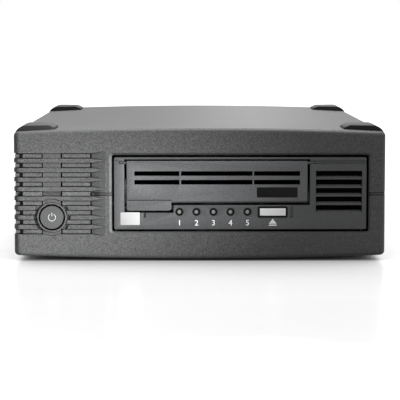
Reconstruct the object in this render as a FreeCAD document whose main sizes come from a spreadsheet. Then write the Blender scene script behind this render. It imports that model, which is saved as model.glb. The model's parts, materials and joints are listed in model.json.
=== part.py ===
import FreeCAD, Part
import math
import os
import re

import Sketcher

# External half-height tape drive: a moulded two-shell case with stacking pads on its top, a
# 5.25-inch drive with its bezel, door and tape path, a power supply, a fan and a rear panel.
# Millimetres.  X runs to the right seen from the front, Y to the back, Z up.
# The origin lies on the table, under the middle of the case.

VALUES = {
    # Case shells
    "case_width": 218,
    "case_depth": 320,
    "case_height": 77.1,
    "crown_rise": 2.2,
    "wall": 2.5,
    "corner_radius": 3.6,
    "edge_radius": 2.6,
    "seam_height": 39.6,
    "seam_line": 0.45,
    "seam_strip": 0.8,
    "seam_depth": 1.1,
    "tongue_height": 2,
    "tongue_gap": 0.2,
    "boss_radius": 3.5,
    "boss_wall_gap": 0.5,
    "case_screw_front": 60,
    "case_screw_back": 64,
    # Feet: round ones below, tapered pads at the corners of the top
    "foot_proud": 1.2,
    "disc_radius": 8,
    "disc_inset": 34,
    "disc_seat_depth": 6,
    "disc_chamfer": 0.4,
    "foot_width": 23.5,
    "foot_length": 42,
    "foot_inset": 5,
    "foot_inset_back": 12,
    "foot_round": 7,
    "foot_bevel": 3.7,
    "foot_bevel_drop": 1.6,
    "foot_taper": 7,
    "foot_seat_depth": 8,
    "foot_gap": 0.1,
    # Air slots on the left of the front, which run round the corner
    "slot_rows": 9,
    "slot_height": 3.2,
    "slot_pitch": 5.57,
    "slot_first": 17.46,
    "slot_end": -63.4,
    "slot_side_length": 32,
    "strut_left": -91.9,
    "strut_right": -81.5,
    "strut_recess": 0.6,
    "runout_length": 7.8,
    "runout_depth": 1.3,
    "runout_rib": 0.1,
    "baffle_gap": 0.45,
    "baffle_recess": 1,
    "baffle_side_recess": 0.8,
    "baffle_seam_recess": 0.3,
    "baffle_corner": 5.4,
    "baffle_end_thickness": 2.6,
    "baffle_end_recess": 2.2,
    "baffle_thickness": 1.6,
    "baffle_post": 2.4,
    # Power button
    "power_across": -86.75,
    "power_height": 25.9,
    "power_radius": 6.8,
    "power_gap": 1,
    "collar_wall": 0.85,
    "collar_length": 6.5,
    "collar_recess_radius": 11,
    "collar_recess": 1,
    "power_proud": 0.3,
    "power_travel": 2,
    "switch_clearance": 0.3,
    "power_flange": 1.5,
    "power_stem": 6,
    "switch_depth": 8,
    "switch_size": 10,
    "plunger_size": 4,
    "plunger_length": 2,
    "switch_board_half": 14,
    "switch_board_rise": 12,
    # 5.25-inch half-height drive
    "bezel_width": 148,
    "bezel_height": 42.3,
    "bezel_across": 23.8,
    "bezel_middle": 39.95,
    "bezel_recess": 0.6,
    "bezel_thickness": 3,
    "bezel_rim_depth": 8,
    "bezel_wall": 1.6,
    "bezel_gap": 1.3,
    "rim_chamfer": 1.4,
    "rim_corner": 1,
    "drive_width": 146,
    "drive_height": 41.4,
    "drive_length": 214,
    "drive_floor": 2,
    "drive_wall": 1.2,
    "cover_thickness": 1,
    "cover_flange": 9,
    # Cartridge door
    "door_across": 10.2,
    "door_width": 106,
    "door_top": 59,
    "door_bottom": 34.1,
    "door_thickness": 2.4,
    "door_side_gap": 1.5,
    "door_top_gap": 1,
    "door_bottom_gap": 1.1,
    "door_bevel": 1.4,
    "door_pin_drop": 1.2,
    "door_pin_radius": 0.9,
    "pin_fit": 0.06,
    "pin_length": 2.6,
    "tab_width": 26.1,
    "tab_bottom": 29.8,
    "tab_side_gap": 1.3,
    "grille_slot": 2.75,
    "grille_low": 45.1,
    "grille_pitch": 5.1,
    "grille_margin": 4.4,
    "grille_rib": 0.9,
    "grille_rib_one": -11.5,
    "grille_rib_two": 31.4,
    "plate_thickness": 0.35,
    "door_plate_left": 33.5,
    "door_plate_width": 23.9,
    "door_plate_low": 37.5,
    "door_plate_height": 5.95,
    "badge_left": -46.6,
    "badge_width": 11.4,
    "badge_low": 21.3,
    "badge_height": 7.5,
    "badge_corner": 0.6,
    # Bezel vents, lamps and eject button
    "side_slot_left": 68.2,
    "side_slot_width": 27.1,
    "side_slot_height": 3.1,
    "side_slot_pitch": 5.03,
    "side_slot_low": 29.9,
    "side_slot_count": 5,
    "side_slot_lip": 1.5,
    "lamp_first": -11.9,
    "lamp_pitch": 9.98,
    "lamp_count": 5,
    "lamp_height": 29.05,
    "lamp_radius": 1.4,
    "lamp_hole": 2.35,
    "lamp_gap": 0.1,
    "eject_left": 35.2,
    "eject_width": 15.3,
    "eject_low": 26.7,
    "eject_height": 4.5,
    "eject_gap": 0.6,
    "eject_travel": 1.2,
    "eject_proud": 0.5,
    "eject_round": 0.5,
    "eject_flange": 1,
    "eject_flange_edge": 0.6,
    "eject_nub": 1.5,
    "eject_switch_size": 6,
    "notch_depth": 0.6,
    "notch_width": 1.9,
    "notch_low": 25.6,
    "notch_left": -33.6,
    "notch_right": 52.8,
    "channel_low": 57.2,
    "channel_height": 2,
    "ear_wall": 1.6,
    "tab_corner": 1.6,
    "tab_line_low": 35.7,
    "tab_line_height": 0.4,
    "lamp_inset": 0.15,
    "holder_inset": 0.4,
    "holder_plate": 1.2,
    "holder_edge": 4,
    "holder_rise": 2.9,
    # Running clearances inside the drive
    "run_gap": 0.3,
    "board_thickness": 1.6,
    # Cartridge loader
    "cartridge_width": 105.4,
    "cartridge_length": 102,
    "cartridge_play": 0.3,
    "cartridge_start": 1,
    "tray_wall": 1,
    "tray_floor_height": 33.6,
    "tray_wall_height": 15,
    "tray_front": 21.5,
    "tray_wall_front": 30,
    "loader_travel": 28,
    "tray_corner": 6,
    "tray_slot_play": 3,
    "frame_setback": 2,
    "frame_slope": 8,
    "frame_lip": 4,
    "tie_width": 8,
    "window_reach": 12,
    "window_near": 24,
    "window_far": 6,
    "window_rise": 3,
    "window_top": 13.5,
    "tray_drop": 4,
    "spindle_radius": 15,
    "spindle_from_front": 81,
    "deck_height": 26,
    "deck_thickness": 2,
    "deck_front": 36,
    "deck_corner": 3,
    "deck_slot_width": 10,
    "deck_slot_length": 40,
    "deck_slot_first": 23,
    "deck_slot_pitch": 80,
    "chip_height": 1.2,
    # Tape path
    "reel_radius": 37,
    "reel_hub_radius": 18,
    "reel_across": 24,
    "reel_height": 15,
    "flange_thickness": 1.2,
    "reel_lift": 4,
    "shaft_radius": 2.5,
    "spindle_teeth": 18,
    "tooth_inner": 10,
    "tooth_outer": 13.4,
    "tooth_half": 0.7,
    "tooth_height": 1.2,
    "spindle_disc": 2,
    "spindle_rim": 0.6,
    "reel_web": 4,
    "reel_wall": 3,
    "reel_hole": 5,
    "reel_hole_count": 6,
    "motor_radius": 20,
    "roller_radius": 5,
    "roller_height": 14,
    "roller_pin_radius": 1.5,
    "roller_pin_gap": 0.05,
    "rod_radius": 1,
    "rod_spread": 5,
    "rod_length": 24,
    "head_length": 14,
    "head_thickness": 6,
    "head_height": 10,
    "head_bar_height": 13,
    "head_foot_height": 1.5,
    "head_foot_half": 5,
    "head_foot_length": 18,
    "head_from_frame": 17,
    "head_from_stop": 12,
    "magnet_left": 4,
    "magnet_right": 8,
    "magnet_half": 5,
    "head_bar_reach": 3,
    "head_bar_half": 4,
    "head_bar_nose": 2.5,
    # Power supply
    "supply_width": 44,
    "supply_length": 150,
    "supply_height": 40,
    "supply_left": -98,
    "supply_front": 66,
    "supply_board_rise": 5,
    "supply_post_radius": 2.5,
    "supply_slot_edge": 6,
    "supply_slot_first": 8,
    "supply_slot_width": 3,
    "supply_slot_pitch": 6,
    "supply_slot_count": 10,
    "supply_skirt": 10,
    "sink_height": 28,
    "sink_fins": 8,
    "sink_pitch": 5,
    "sink_fin": 1.2,
    "sink_plate": 2,
    "sink_first": 12,
    "sink_reach": 14,
    "sheet": 1,
    # Rear panel
    "panel_inset": 4,
    "panel_thickness": 1.2,
    "panel_gap": 0.3,
    "fan_size": 60,
    "fan_depth": 25,
    "fan_across": 0,
    "fan_hole_spacing": 50,
    "fan_tip_gap": 0.8,
    "fan_wall": 1.5,
    "fan_corner": 3,
    "fan_hub_radius": 15,
    "fan_hub_wall": 2,
    "spider_thickness": 2,
    "spider_half": 2,
    "rotor_inset": 2.5,
    "rotor_shortening": 4,
    "guard_wire": 1.2,
    "guard_rings": 4,
    "guard_first": 8,
    "guard_pitch": 6.5,
    "fan_screw_length": 12,
    "blade_count": 7,
    "blade_root_half": 4.5,
    "blade_tip_half": 9,
    "blade_thickness": 1.2,
    "inlet_across": -78,
    "inlet_height_at": 26,
    "inlet_width": 27,
    "inlet_height": 19.8,
    "inlet_depth": 18,
    "inlet_flange": 1.8,
    "inlet_lip": 1.6,
    "inlet_wall": 1.5,
    "inlet_floor": 2,
    "inlet_cut": 5,
    "inlet_pin_spread": 7,
    "inlet_pin_offset": 2,
    "inlet_pin_recess": 3,
    "socket_across": 74,
    "socket_spacing": 30,
    "socket_width": 23,
    "socket_height": 9,
    "socket_depth": 28,
    "socket_proud": 0.8,
    "socket_wall": 0.8,
    "socket_tongue_half": 7,
    "socket_tongue_thickness": 1.2,
    "socket_tongue_recess": 4,
    "connector_rise": 6,
    "neck_inset": 3,
    "neck_inset_right": 8,
    "neck_reach": 6,
    "interface_height": 30,
    "interface_left": 52,
    "interface_width": 46,
    # Fasteners
    "screw_radius": 1.5,
    "screw_head_radius": 2.9,
    "screw_head_height": 1.8,
    "screw_length": 8,
    "screw_play": 0.2,
    # Brackets that carry the drive
    "bracket_sheet": 1.5,
    "bracket_flange": 11.5,
    "drive_bolt_rise": 10,
    "drive_bolt_front": 47.4,
    "drive_bolt_spacing": 79.2,
}

FORMULAS = {
    "front": "-case_depth / 2",
    "rear": "case_depth / 2",
    "side": "case_width / 2",
    "case_bottom": "foot_proud",
    "case_top": "foot_proud + case_height",
    "crown_radius": "((case_width / 2)^2 + crown_rise^2) / (2 * crown_rise)",
    "foot_top": "case_height + 2 * foot_proud",
    "strip_top": "seam_height + seam_strip / 2",
    "strip_bottom": "seam_height - seam_strip / 2",
    "upper_rim": "strip_top + seam_line",
    "lower_rim": "strip_bottom - seam_line",
    "tongue": "(wall - tongue_gap) / 2",
    "slot_seam": "slot_first + (slot_rows - 1) / 2 * slot_pitch",
    "collar_bore": "power_radius + power_gap",
    "collar_radius": "power_radius + power_gap + collar_wall",
    "bezel_face": "front + bezel_recess",
    "bezel_back": "bezel_face + bezel_thickness",
    "bezel_left": "bezel_across - bezel_width / 2",
    "bezel_right": "bezel_across + bezel_width / 2",
    "bezel_low": "bezel_middle - bezel_height / 2",
    "bezel_high": "bezel_middle + bezel_height / 2",
    "drive_front": "bezel_face + bezel_rim_depth",
    "drive_rear": "bezel_face + drive_length",
    "drive_left": "bezel_across - drive_width / 2",
    "drive_right": "bezel_across + drive_width / 2",
    "drive_low": "bezel_middle - drive_height / 2",
    "drive_high": "bezel_middle + drive_height / 2",
    "floor_top": "drive_low + drive_floor",
    "door_left": "door_across - door_width / 2",
    "door_right": "door_across + door_width / 2",
    "door_pin_height": "door_top - door_pin_drop",
    "door_pin_depth": "bezel_face + door_pin_drop",
    "badge_right": "badge_left + badge_width",
    "badge_high": "badge_low + badge_height",
    "eject_right": "eject_left + eject_width",
    "eject_high": "eject_low + eject_height",
    "deck_top": "deck_height + deck_thickness",
    "deck_near": "bezel_face + deck_front",
    "board_top": "board_low + board_thickness",
    "tray_inner": "cartridge_width / 2 + cartridge_play",
    "tray_outer": "tray_inner + tray_wall",
    "carriage_inner": "tray_outer + run_gap",
    "carriage_outer": "carriage_inner + tray_wall",
    "frame_inner": "carriage_outer + run_gap",
    "frame_outer": "frame_inner + tray_wall",
    "tray_back": "bezel_face + cartridge_start + cartridge_length + tray_wall",
    "spindle_depth": "bezel_face + spindle_from_front",
    "reel_depth": "tray_back + loader_travel + 3 * tray_wall + reel_radius",
    "reel_low": "deck_top + reel_lift",
    "loaded_back": "tray_back + loader_travel",
    "panel_front": "rear - panel_inset - panel_thickness",
    "panel_face": "rear - panel_inset",
    "case_middle": "foot_proud + case_height / 2",
    "fan_front": "panel_front - fan_depth",
    "board_low": "floor_top + board_thickness",
    "socket_low": "interface_height + board_thickness",
    "boss_across": "side - wall - boss_radius - boss_wall_gap",
    "boss_top": "disc_seat_depth + wall + run_gap",
    "disc_across": "side - disc_inset",
    "foot_slope": "foot_taper / foot_width",
    "boss_foot": "case_bottom + wall * 0.8",
    "supply_right": "supply_left + supply_width",
    "supply_near": "front + supply_front",
    "supply_far": "supply_near + supply_length",
    "power_stem_end": "front + collar_length + power_flange + power_stem",
    "power_switch_face": "power_stem_end + power_travel + switch_clearance",
    "switch_board_face": "power_switch_face + switch_depth",
    "switch_board_back": "switch_board_face + board_thickness",
    "bracket_left": "drive_left - run_gap - bracket_sheet",
    "bracket_right": "drive_right + run_gap + bracket_sheet",
    "drive_bolt_height": "drive_low + drive_bolt_rise",
    "board_face": "drive_front + 1",
    "base_left": "drive_left + cover_thickness",
    "base_right": "drive_right - cover_thickness",
    "frame_side": "door_across + frame_outer",
    "fan_bore": "fan_size / 2 - fan_wall",
}

AXES = {"X": (1, 0, 0), "Y": (0, 1, 0), "Z": (0, 0, 1)}

document = FreeCAD.newDocument("TapeDrive")
sizes = document.addObject("Spreadsheet::Sheet", "Sizes")
for row, (name, value) in enumerate(VALUES.items(), start=1):
    sizes.set(f"A{row}", name)
    sizes.set(f"B{row}", str(value))
    sizes.setAlias(f"B{row}", name)
document.recompute()


def formula(text):
    """The text as an expression: named formulas written out, named values taken from the sheet."""
    def replace(match):
        word = match.group(0)
        if word in FORMULAS:
            return f"({formula(FORMULAS[word])})"
        if word in VALUES:
            return f"Sizes.{word}"
        return word
    return re.sub(r"[A-Za-z_][A-Za-z_0-9]*", replace, str(text))


def number(text):
    """What a formula comes to."""
    return float(sizes.evalExpression(formula(text)))


def bind(thing, target, text):
    """Tie one property or constraint of an object to a formula."""
    thing.setExpression(target, formula(text))


# Outlines for sketches.  Each is a function that draws itself in a sketch, fully constrained.

def pin_point(sketch, geometry, end, across, up):
    """Fix one point of a sketch at two formulas, measured from the sketch's origin."""
    for kind, text in (("DistanceX", across), ("DistanceY", up)):
        index = sketch.addConstraint(Sketcher.Constraint(kind, -1, 1, geometry, end, number(text)))
        bind(sketch, f"Constraints[{index}]", text)


def outline(*points):
    """A closed run of straight edges through points given as pairs of formulas."""
    def draw(sketch):
        places = [FreeCAD.Vector(number(across), number(up), 0) for across, up in points]
        first = sketch.GeometryCount
        for start, end in zip(places, places[1:] + places[:1]):
            sketch.addGeometry(Part.LineSegment(start, end), False)
        for step, (across, up) in enumerate(points):
            after = (step + 1) % len(points)
            sketch.addConstraint(Sketcher.Constraint("Coincident", first + step, 2, first + after, 1))
            pin_point(sketch, first + step, 1, across, up)
    return draw


def rectangle(left, right, low, high):
    """A rectangle between four formulas."""
    return outline((left, low), (right, low), (right, high), (left, high))


def disc(across, up, radius):
    """A circle."""
    def draw(sketch):
        centre = FreeCAD.Vector(number(across), number(up), 0)
        circle = Part.Circle(centre, FreeCAD.Vector(0, 0, 1), number(radius))
        index = sketch.addGeometry(circle, False)
        pin_point(sketch, index, 3, across, up)
        limit = sketch.addConstraint(Sketcher.Constraint("Radius", index, number(radius)))
        bind(sketch, f"Constraints[{limit}]", radius)
    return draw


def crowned(half, crown, radius, flat, upward):
    """A section with straight sides, a flat end and a shallow arc that crowns the other end."""
    def draw(sketch):
        reach = number(half)
        bend = number(radius)
        centre = f"({crown}) - ({radius})" if upward else f"({crown}) + ({radius})"
        angle = math.asin(reach / bend)
        middle = math.pi / 2 if upward else -math.pi / 2
        circle = Part.Circle(FreeCAD.Vector(0, number(centre), 0), FreeCAD.Vector(0, 0, 1), bend)
        arc = sketch.addGeometry(Part.ArcOfCircle(circle, middle - angle, middle + angle), False)
        ends = [FreeCAD.Vector(sketch.getPoint(arc, 1)), FreeCAD.Vector(sketch.getPoint(arc, 2))]
        feet = [FreeCAD.Vector(end.x, number(flat), 0) for end in ends]
        right = sketch.addGeometry(Part.LineSegment(ends[1], feet[1]), False)
        base = sketch.addGeometry(Part.LineSegment(feet[1], feet[0]), False)
        left = sketch.addGeometry(Part.LineSegment(feet[0], ends[0]), False)
        for first, second in ((arc, right), (right, base), (base, left), (left, arc)):
            sketch.addConstraint(Sketcher.Constraint("Coincident", first, 2, second, 1))
        pin_point(sketch, arc, 3, "0", centre)
        limit = sketch.addConstraint(Sketcher.Constraint("Radius", arc, bend))
        bind(sketch, f"Constraints[{limit}]", radius)
        start = f"({half})" if ends[0].x > 0 else f"-({half})"
        finish = f"-({half})" if ends[0].x > 0 else f"({half})"
        pin_point(sketch, base, 2, start, flat)
        pin_point(sketch, base, 1, finish, flat)
        sketch.addConstraint(Sketcher.Constraint("Vertical", left))
        sketch.addConstraint(Sketcher.Constraint("Vertical", right))
    return draw


def touches(axis=None, **limits):
    """A test for edges: along an axis, or with both ends between the limits given for x, y or z."""
    def test(edge):
        if axis is not None:
            if not isinstance(edge.Curve, Part.Line):
                return False
            if abs(edge.Curve.Direction.dot(FreeCAD.Vector(*AXES[axis]))) < 0.999:
                return False
        for coordinate, (low, high) in limits.items():
            for end in (edge.valueAt(edge.FirstParameter), edge.valueAt(edge.LastParameter)):
                place = getattr(end, coordinate)
                if not number(low) - 0.01 <= place <= number(high) + 0.01:
                    return False
        return True
    return test


class Piece:
    """One PartDesign body.  Pads and pockets start at a level and run towards the plus side."""

    def __init__(self, label):
        self.body = document.addObject("PartDesign::Body", label)
        self.body.Label = label
        self.label = label

    def origin(self, role):
        """An origin plane or axis of the body."""
        return next(item for item in self.body.Origin.OriginFeatures if item.Role == role)

    def add(self, kind, **properties):
        """Add a feature to the body and make it the tip."""
        feature = self.body.newObject(f"PartDesign::{kind}", f"{self.label}_{kind}")
        for name, value in properties.items():
            setattr(feature, name, value)
        self.body.Tip = feature
        return feature

    def sketch(self, plane, level, outlines):
        """A sketch on an origin plane, moved along that plane's axis to a level."""
        sketch = self.body.newObject("Sketcher::SketchObject", f"{self.label}_Sketch")
        sketch.AttachmentSupport = (self.origin(f"{plane}_Plane"), [""])
        sketch.MapMode = "FlatFace"
        bind(sketch, "AttachmentOffset.Base.z", f"-({level})" if plane == "XZ" else level)
        for draw in outlines:
            draw(sketch)
        return sketch

    def pad(self, plane, level, length, *outlines):
        """Add material from a level over a length."""
        sketch = self.sketch(plane, level, outlines)
        feature = self.add("Pad", Profile=sketch, Reversed=plane == "XZ")
        bind(feature, "Length", length)
        return feature

    def pocket(self, plane, level, length, *outlines):
        """Take material away from a level over a length."""
        sketch = self.sketch(plane, level, outlines)
        feature = self.add("Pocket", Profile=sketch, Reversed=plane != "XZ")
        bind(feature, "Length", length)
        return feature

    def turn(self, kind, axis, plane, level, *outlines):
        """Add or cut a full turn about an axis of the body's origin."""
        sketch = self.sketch(plane, level, outlines)
        line = (self.origin(f"{axis}_Axis"), [""])
        return self.add(kind, Profile=sketch, ReferenceAxis=line, Angle=360)

    def repeat(self, axis, spacing, count, reverse=False):
        """Repeat the last feature along an axis."""
        last = self.body.Tip
        line = (self.origin(f"{axis}_Axis"), [""])
        feature = self.add("LinearPattern", Originals=[last], Direction=line, Reversed=reverse)
        bind(feature, "Length", f"({spacing}) * (({count}) - 1)")
        bind(feature, "Occurrences", count)
        return feature

    def wedge(self, **limits):
        """Cut a wedge whose length runs along X, its height along Z and its depth along Y."""
        turn = FreeCAD.Rotation(FreeCAD.Vector(1, 1, 1), -120)
        feature = self.add("SubtractiveWedge", Placement=FreeCAD.Placement(FreeCAD.Vector(), turn))
        for name, text in limits.items():
            bind(feature, name, text)
        return feature

    def edges(self, tests):
        """Names of the edges of the tip that pass one of the tests."""
        document.recompute()
        shape = self.body.Tip.Shape
        names = [f"Edge{i}" for i, edge in enumerate(shape.Edges, 1) if any(t(edge) for t in tests)]
        if not names:
            raise RuntimeError(f"{self.label}: no edge to dress")
        return names

    def fillet(self, radius, *tests):
        """Round edges."""
        names = self.edges(tests)
        feature = self.add("Fillet", Base=(self.body.Tip, names))
        bind(feature, "Radius", radius)
        return feature

    def chamfer(self, size, *tests):
        """Bevel edges."""
        names = self.edges(tests)
        feature = self.add("Chamfer", Base=(self.body.Tip, names))
        bind(feature, "Size", size)
        return feature


# Part primitives tied to the sheet, for plain pieces and for holes shared by several pieces.

def block(name, left, right, near, far, low, high):
    """A box between six formulas."""
    box = document.addObject("Part::Box", name)
    for side, target, start, end in (
        ("Length", "x", left, right), ("Width", "y", near, far), ("Height", "z", low, high),
    ):
        bind(box, side, f"({end}) - ({start})")
        bind(box, f"Placement.Base.{target}", start)
    return box


def rod(name, axis, across, depth, height, radius, length):
    """A cylinder that starts at a point and runs towards the plus side of an axis."""
    cylinder = document.addObject("Part::Cylinder", name)
    turn = FreeCAD.Rotation(FreeCAD.Vector(0, 0, 1), FreeCAD.Vector(*AXES[axis]))
    cylinder.Placement = FreeCAD.Placement(FreeCAD.Vector(), turn)
    bind(cylinder, "Radius", radius)
    bind(cylinder, "Height", length)
    for target, text in (("x", across), ("y", depth), ("z", height)):
        bind(cylinder, f"Placement.Base.{target}", text)
    return cylinder


def joined(name, pieces):
    """One solid from several that touch or overlap."""
    whole = document.addObject("Part::MultiFuse", name)
    whole.Shapes = pieces
    whole.Refine = True
    return whole


def group(name, pieces):
    """Several separate solids under one name."""
    whole = document.addObject("Part::Compound", name)
    whole.Links = pieces
    return whole


def less(name, base, tools):
    """A solid with others taken out of it."""
    whole = document.addObject("Part::Cut", name)
    whole.Base = base
    whole.Tool = tools[0] if len(tools) == 1 else group(f"{name}_tools", tools)
    return whole


def mirrored(name, source, normal, base="0"):
    """A mirror image across a plane that is square to X, Y or Z."""
    image = document.addObject("Part::Mirroring", name)
    image.Source = source
    image.Normal = FreeCAD.Vector(*AXES[normal])
    bind(image, f"Base.{normal.lower()}", base)
    return image


nodes = []


def node(thing, label=None):
    """Keep an object as one sub-part."""
    thing = thing.body if isinstance(thing, Piece) else thing
    thing.Label = label or thing.Label
    nodes.append(thing)
    return thing


# Case shells.  Both are cut by the same windows: the bezel opening and the wrap-round air slots.

def cut_air_slots(shell, downward):
    """Air slots from the seam row up or down, with a solid strut and scooped run-outs."""
    row_low = "slot_seam - slot_height / 2"
    inside = "front + wall + 0.5"
    shell.pocket("XY", row_low, "slot_height", outline(
        ("-side - 1", "front - 1"),
        ("slot_end", "front - 1"),
        ("slot_end", inside),
        ("strut_right", inside),
        ("strut_right", "front + strut_recess"),
        ("strut_left", "front + strut_recess"),
        ("strut_left", inside),
        ("-side + wall + 0.5", inside),
        ("-side + wall + 0.5", "front + slot_side_length"),
        ("-side - 1", "front + slot_side_length"),
    ))
    rows = "(slot_rows + 1) / 2"
    shell.repeat("Z", "slot_pitch", rows, reverse=downward)
    shell.wedge(
        Xmin="slot_seam - slot_height / 2", Xmax="slot_seam + slot_height / 2",
        X2min="slot_seam - (slot_pitch - runout_rib) / 2",
        X2max="slot_seam + (slot_pitch - runout_rib) / 2",
        Ymin="slot_end - 0.1", Ymax="slot_end + runout_length",
        Zmin="front - 1", Zmax="front + runout_depth",
        Z2min="front - 1", Z2max="front + 0.02",
    )
    shell.repeat("Z", "slot_pitch", rows, reverse=downward)


def cut_bezel_opening(shell, low, high, corner):
    """The front opening for the drive's bezel, with a bevelled rim rounded at two corners."""
    left = "bezel_left - bezel_gap"
    right = "bezel_right + bezel_gap"
    shell.pocket("XZ", "front - 1", "wall + 2", rectangle(left, right, low, high))
    shell.fillet("rim_corner", *[
        touches("Y", x=(across, across), y=("front", "front + wall"), z=(corner, corner))
        for across in (left, right)
    ])
    face = ("front", "front")
    shell.chamfer(
        "rim_chamfer",
        touches("Z", x=(left, left), y=face),
        touches("Z", x=(right, right), y=face),
        touches("X", x=(left, right), y=face, z=(low, low)),
        touches("X", x=(left, right), y=face, z=(high, high)),
    )


def foot_plan(across, near, far, grow, reach):
    """The tapered plan of one foot on one side of the case, grown by a gap."""
    inner = f"{across} * (side - foot_width - ({grow}))"
    outer = f"{across} * ({reach})"
    at_outer = f"({grow}) + (({reach}) - side) * foot_slope"
    at_inner = f"({grow}) - (foot_width + ({grow})) * foot_slope"
    return outline(
        (outer, f"({near}) - ({at_outer})"),
        (outer, f"({far}) + ({at_outer})"),
        (inner, f"({far}) + ({at_inner})"),
        (inner, f"({near}) - ({at_inner})"),
    )


FOOT_SPANS = (
    ("front + foot_inset", "front + foot_inset + foot_length"),
    ("rear - foot_inset_back - foot_length", "rear - foot_inset_back"),
)


def seat_pads(shell, low, high):
    """Thicken the top's corners inside and sink the seats of the four pads into them."""
    shell.pad("XY", low, f"({high}) - ({low})", *[
        rectangle(*sorted((f"{across} * (side - foot_width - wall)", f"{across} * (side - wall / 2)"),
                          key=number), f"({near}) - wall / 2", f"({far}) + wall")
        for across in (-1, 1) for near, far in FOOT_SPANS
    ])
    shell.pocket("XY", "foot_top - foot_seat_depth", "foot_seat_depth", *[
        foot_plan(across, near, far, "foot_gap", "side + 1")
        for across in (-1, 1) for near, far in FOOT_SPANS
    ])


DISC_PLACES = [
    (f"{across} * disc_across", depth)
    for across in (-1, 1) for depth in ("front + disc_inset", "rear - disc_inset")
]


CASE_SCREWS = [
    (f"{across} * boss_across", depth)
    for across in (-1, 1) for depth in ("front + case_screw_front", "rear - case_screw_back")
]
BRACKET_BOSSES = [
    (across, f"front + drive_bolt_front + {step} * drive_bolt_spacing")
    for across in ("bracket_left + bracket_sheet + bracket_flange / 2",
                   "bracket_right - bracket_sheet - bracket_flange / 2")
    for step in (0, 1)
]
SUPPLY_BOSSES = [
    (across, depth)
    for across in ("supply_left + boss_radius + 2", "supply_right - boss_radius - 2")
    for depth in ("supply_near + boss_radius + 6", "supply_far - boss_radius - 6")
]
INTERFACE_BOSSES = [
    (across, depth)
    for across in ("interface_left + boss_radius", "interface_left + interface_width - boss_radius")
    for depth in ("drive_rear + 12", "panel_front - socket_depth - 8")
]


def make_lower_shell():
    """Lower half of the case, with the seam's tongue, the button collar, posts and bosses."""
    shell = Piece("lower_shell")
    shell.pad("XZ", "front", "case_depth",
              crowned("side", "case_bottom", "crown_radius", "strip_top", upward=False))
    shell.fillet("corner_radius", touches("Z"))
    shell.fillet("edge_radius", touches(z=("0", "case_bottom + crown_rise")))
    shell.pocket("XZ", "front + wall", "case_depth",
                 crowned("side - wall", "case_bottom + wall", "crown_radius - wall",
                         "strip_top + 1", upward=False))
    shell.pad("XY", "strip_top", "tongue_height",
              rectangle("-side + wall - tongue", "side - wall + tongue",
                        "front + wall - tongue", "rear - corner_radius"),
              rectangle("-side + wall", "side - wall", "front + wall", "rear - corner_radius - 1"))
    cut_bezel_opening(shell, "bezel_low - bezel_gap", "upper_rim + tongue_height",
                      "bezel_low - bezel_gap")
    shell.pocket("XY", "lower_rim", "seam_line",
                 rectangle("-side - 1", "side + 1", "front - 1", "rear + 1"),
                 rectangle("-side + seam_depth", "side - seam_depth",
                           "front + seam_depth", "rear - seam_depth"))
    shell.pocket("XY", "strip_top", "tongue_height + 1",
                 rectangle("-side", "side", "rear - corner_radius - 1.5", "rear"))
    collar = ("power_across", "power_height")
    shell.pocket("XZ", "front - 1", "collar_recess + 1", disc(*collar, "collar_recess_radius"))
    shell.pad("XZ", "front + strut_recess", "wall - strut_recess",
              rectangle("strut_left", "strut_right", "power_height - collar_recess_radius - 1",
                        "power_height + collar_recess_radius + 1"))
    cut_air_slots(shell, downward=True)
    shell.pad("XZ", "front", "collar_length", disc(*collar, "collar_radius"))
    shell.pocket("XZ", "front - 1", "collar_length + 2", disc(*collar, "collar_bore"))
    for top, places in (
        ("boss_top", BRACKET_BOSSES + SUPPLY_BOSSES),
        ("interface_height", INTERFACE_BOSSES),
        ("seam_height", CASE_SCREWS),
    ):
        shell.pad("XY", "boss_foot", f"({top}) - boss_foot",
                  *[disc(*place, "boss_radius") for place in places])
    shell.pocket("XY", "0", "seam_height + 1",
                 *[disc(*place, "screw_radius + screw_play") for place in CASE_SCREWS])
    shell.pocket("XY", "0", "seam_height - screw_length / 2",
                 *[disc(*place, "screw_head_radius + screw_play") for place in CASE_SCREWS])
    shell.pad("XY", "boss_foot", "power_height + 10 - boss_foot", *[
        rectangle(f"power_across + ({shift}) - 2", f"power_across + ({shift}) + 2",
                  "switch_board_back + 0.1", "switch_board_back + 5")
        for shift in ("-10", "10")
    ])
    shell.pad("XY", "boss_foot", "disc_seat_depth + wall - boss_foot",
              *[disc(*place, "disc_radius + foot_gap + wall") for place in DISC_PLACES])
    shell.pocket("XY", "0", "disc_seat_depth",
                 *[disc(*place, "disc_radius + foot_gap") for place in DISC_PLACES])
    return node(shell)


def make_upper_shell():
    """Upper half of the case, with the screw posts that meet those of the lower half."""
    shell = Piece("upper_shell")
    shell.pad("XZ", "front", "case_depth",
              crowned("side", "case_top", "crown_radius", "upper_rim", upward=True))
    shell.fillet("corner_radius", touches("Z"))
    shell.fillet("edge_radius", touches(z=("case_top - crown_rise", "case_top")))
    shell.pocket("XZ", "front + wall", "case_depth",
                 crowned("side - wall", "case_top - wall", "crown_radius - wall",
                         "upper_rim - 1", upward=True))
    step = "(wall - tongue - tongue_gap)"
    shell.pocket("XY", "upper_rim", "tongue_height",
                 rectangle(f"-side + {step}", f"side - {step}", f"front + {step}", "rear + 1"))
    cut_bezel_opening(shell, "lower_rim - tongue_height", "bezel_high + bezel_gap",
                      "bezel_high + bezel_gap")
    cut_air_slots(shell, downward=False)
    seat_pads(shell, "foot_top - foot_seat_depth - wall", "case_top - crown_rise - wall / 2")
    shell.pad("XY", "seam_height", "case_top - crown_rise - wall / 2 - seam_height",
              *[disc(*place, "boss_radius") for place in CASE_SCREWS])
    shell.pocket("XY", "seam_height - 1", "screw_length + 1",
                 *[disc(*place, "screw_radius") for place in CASE_SCREWS])
    return node(shell)


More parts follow.
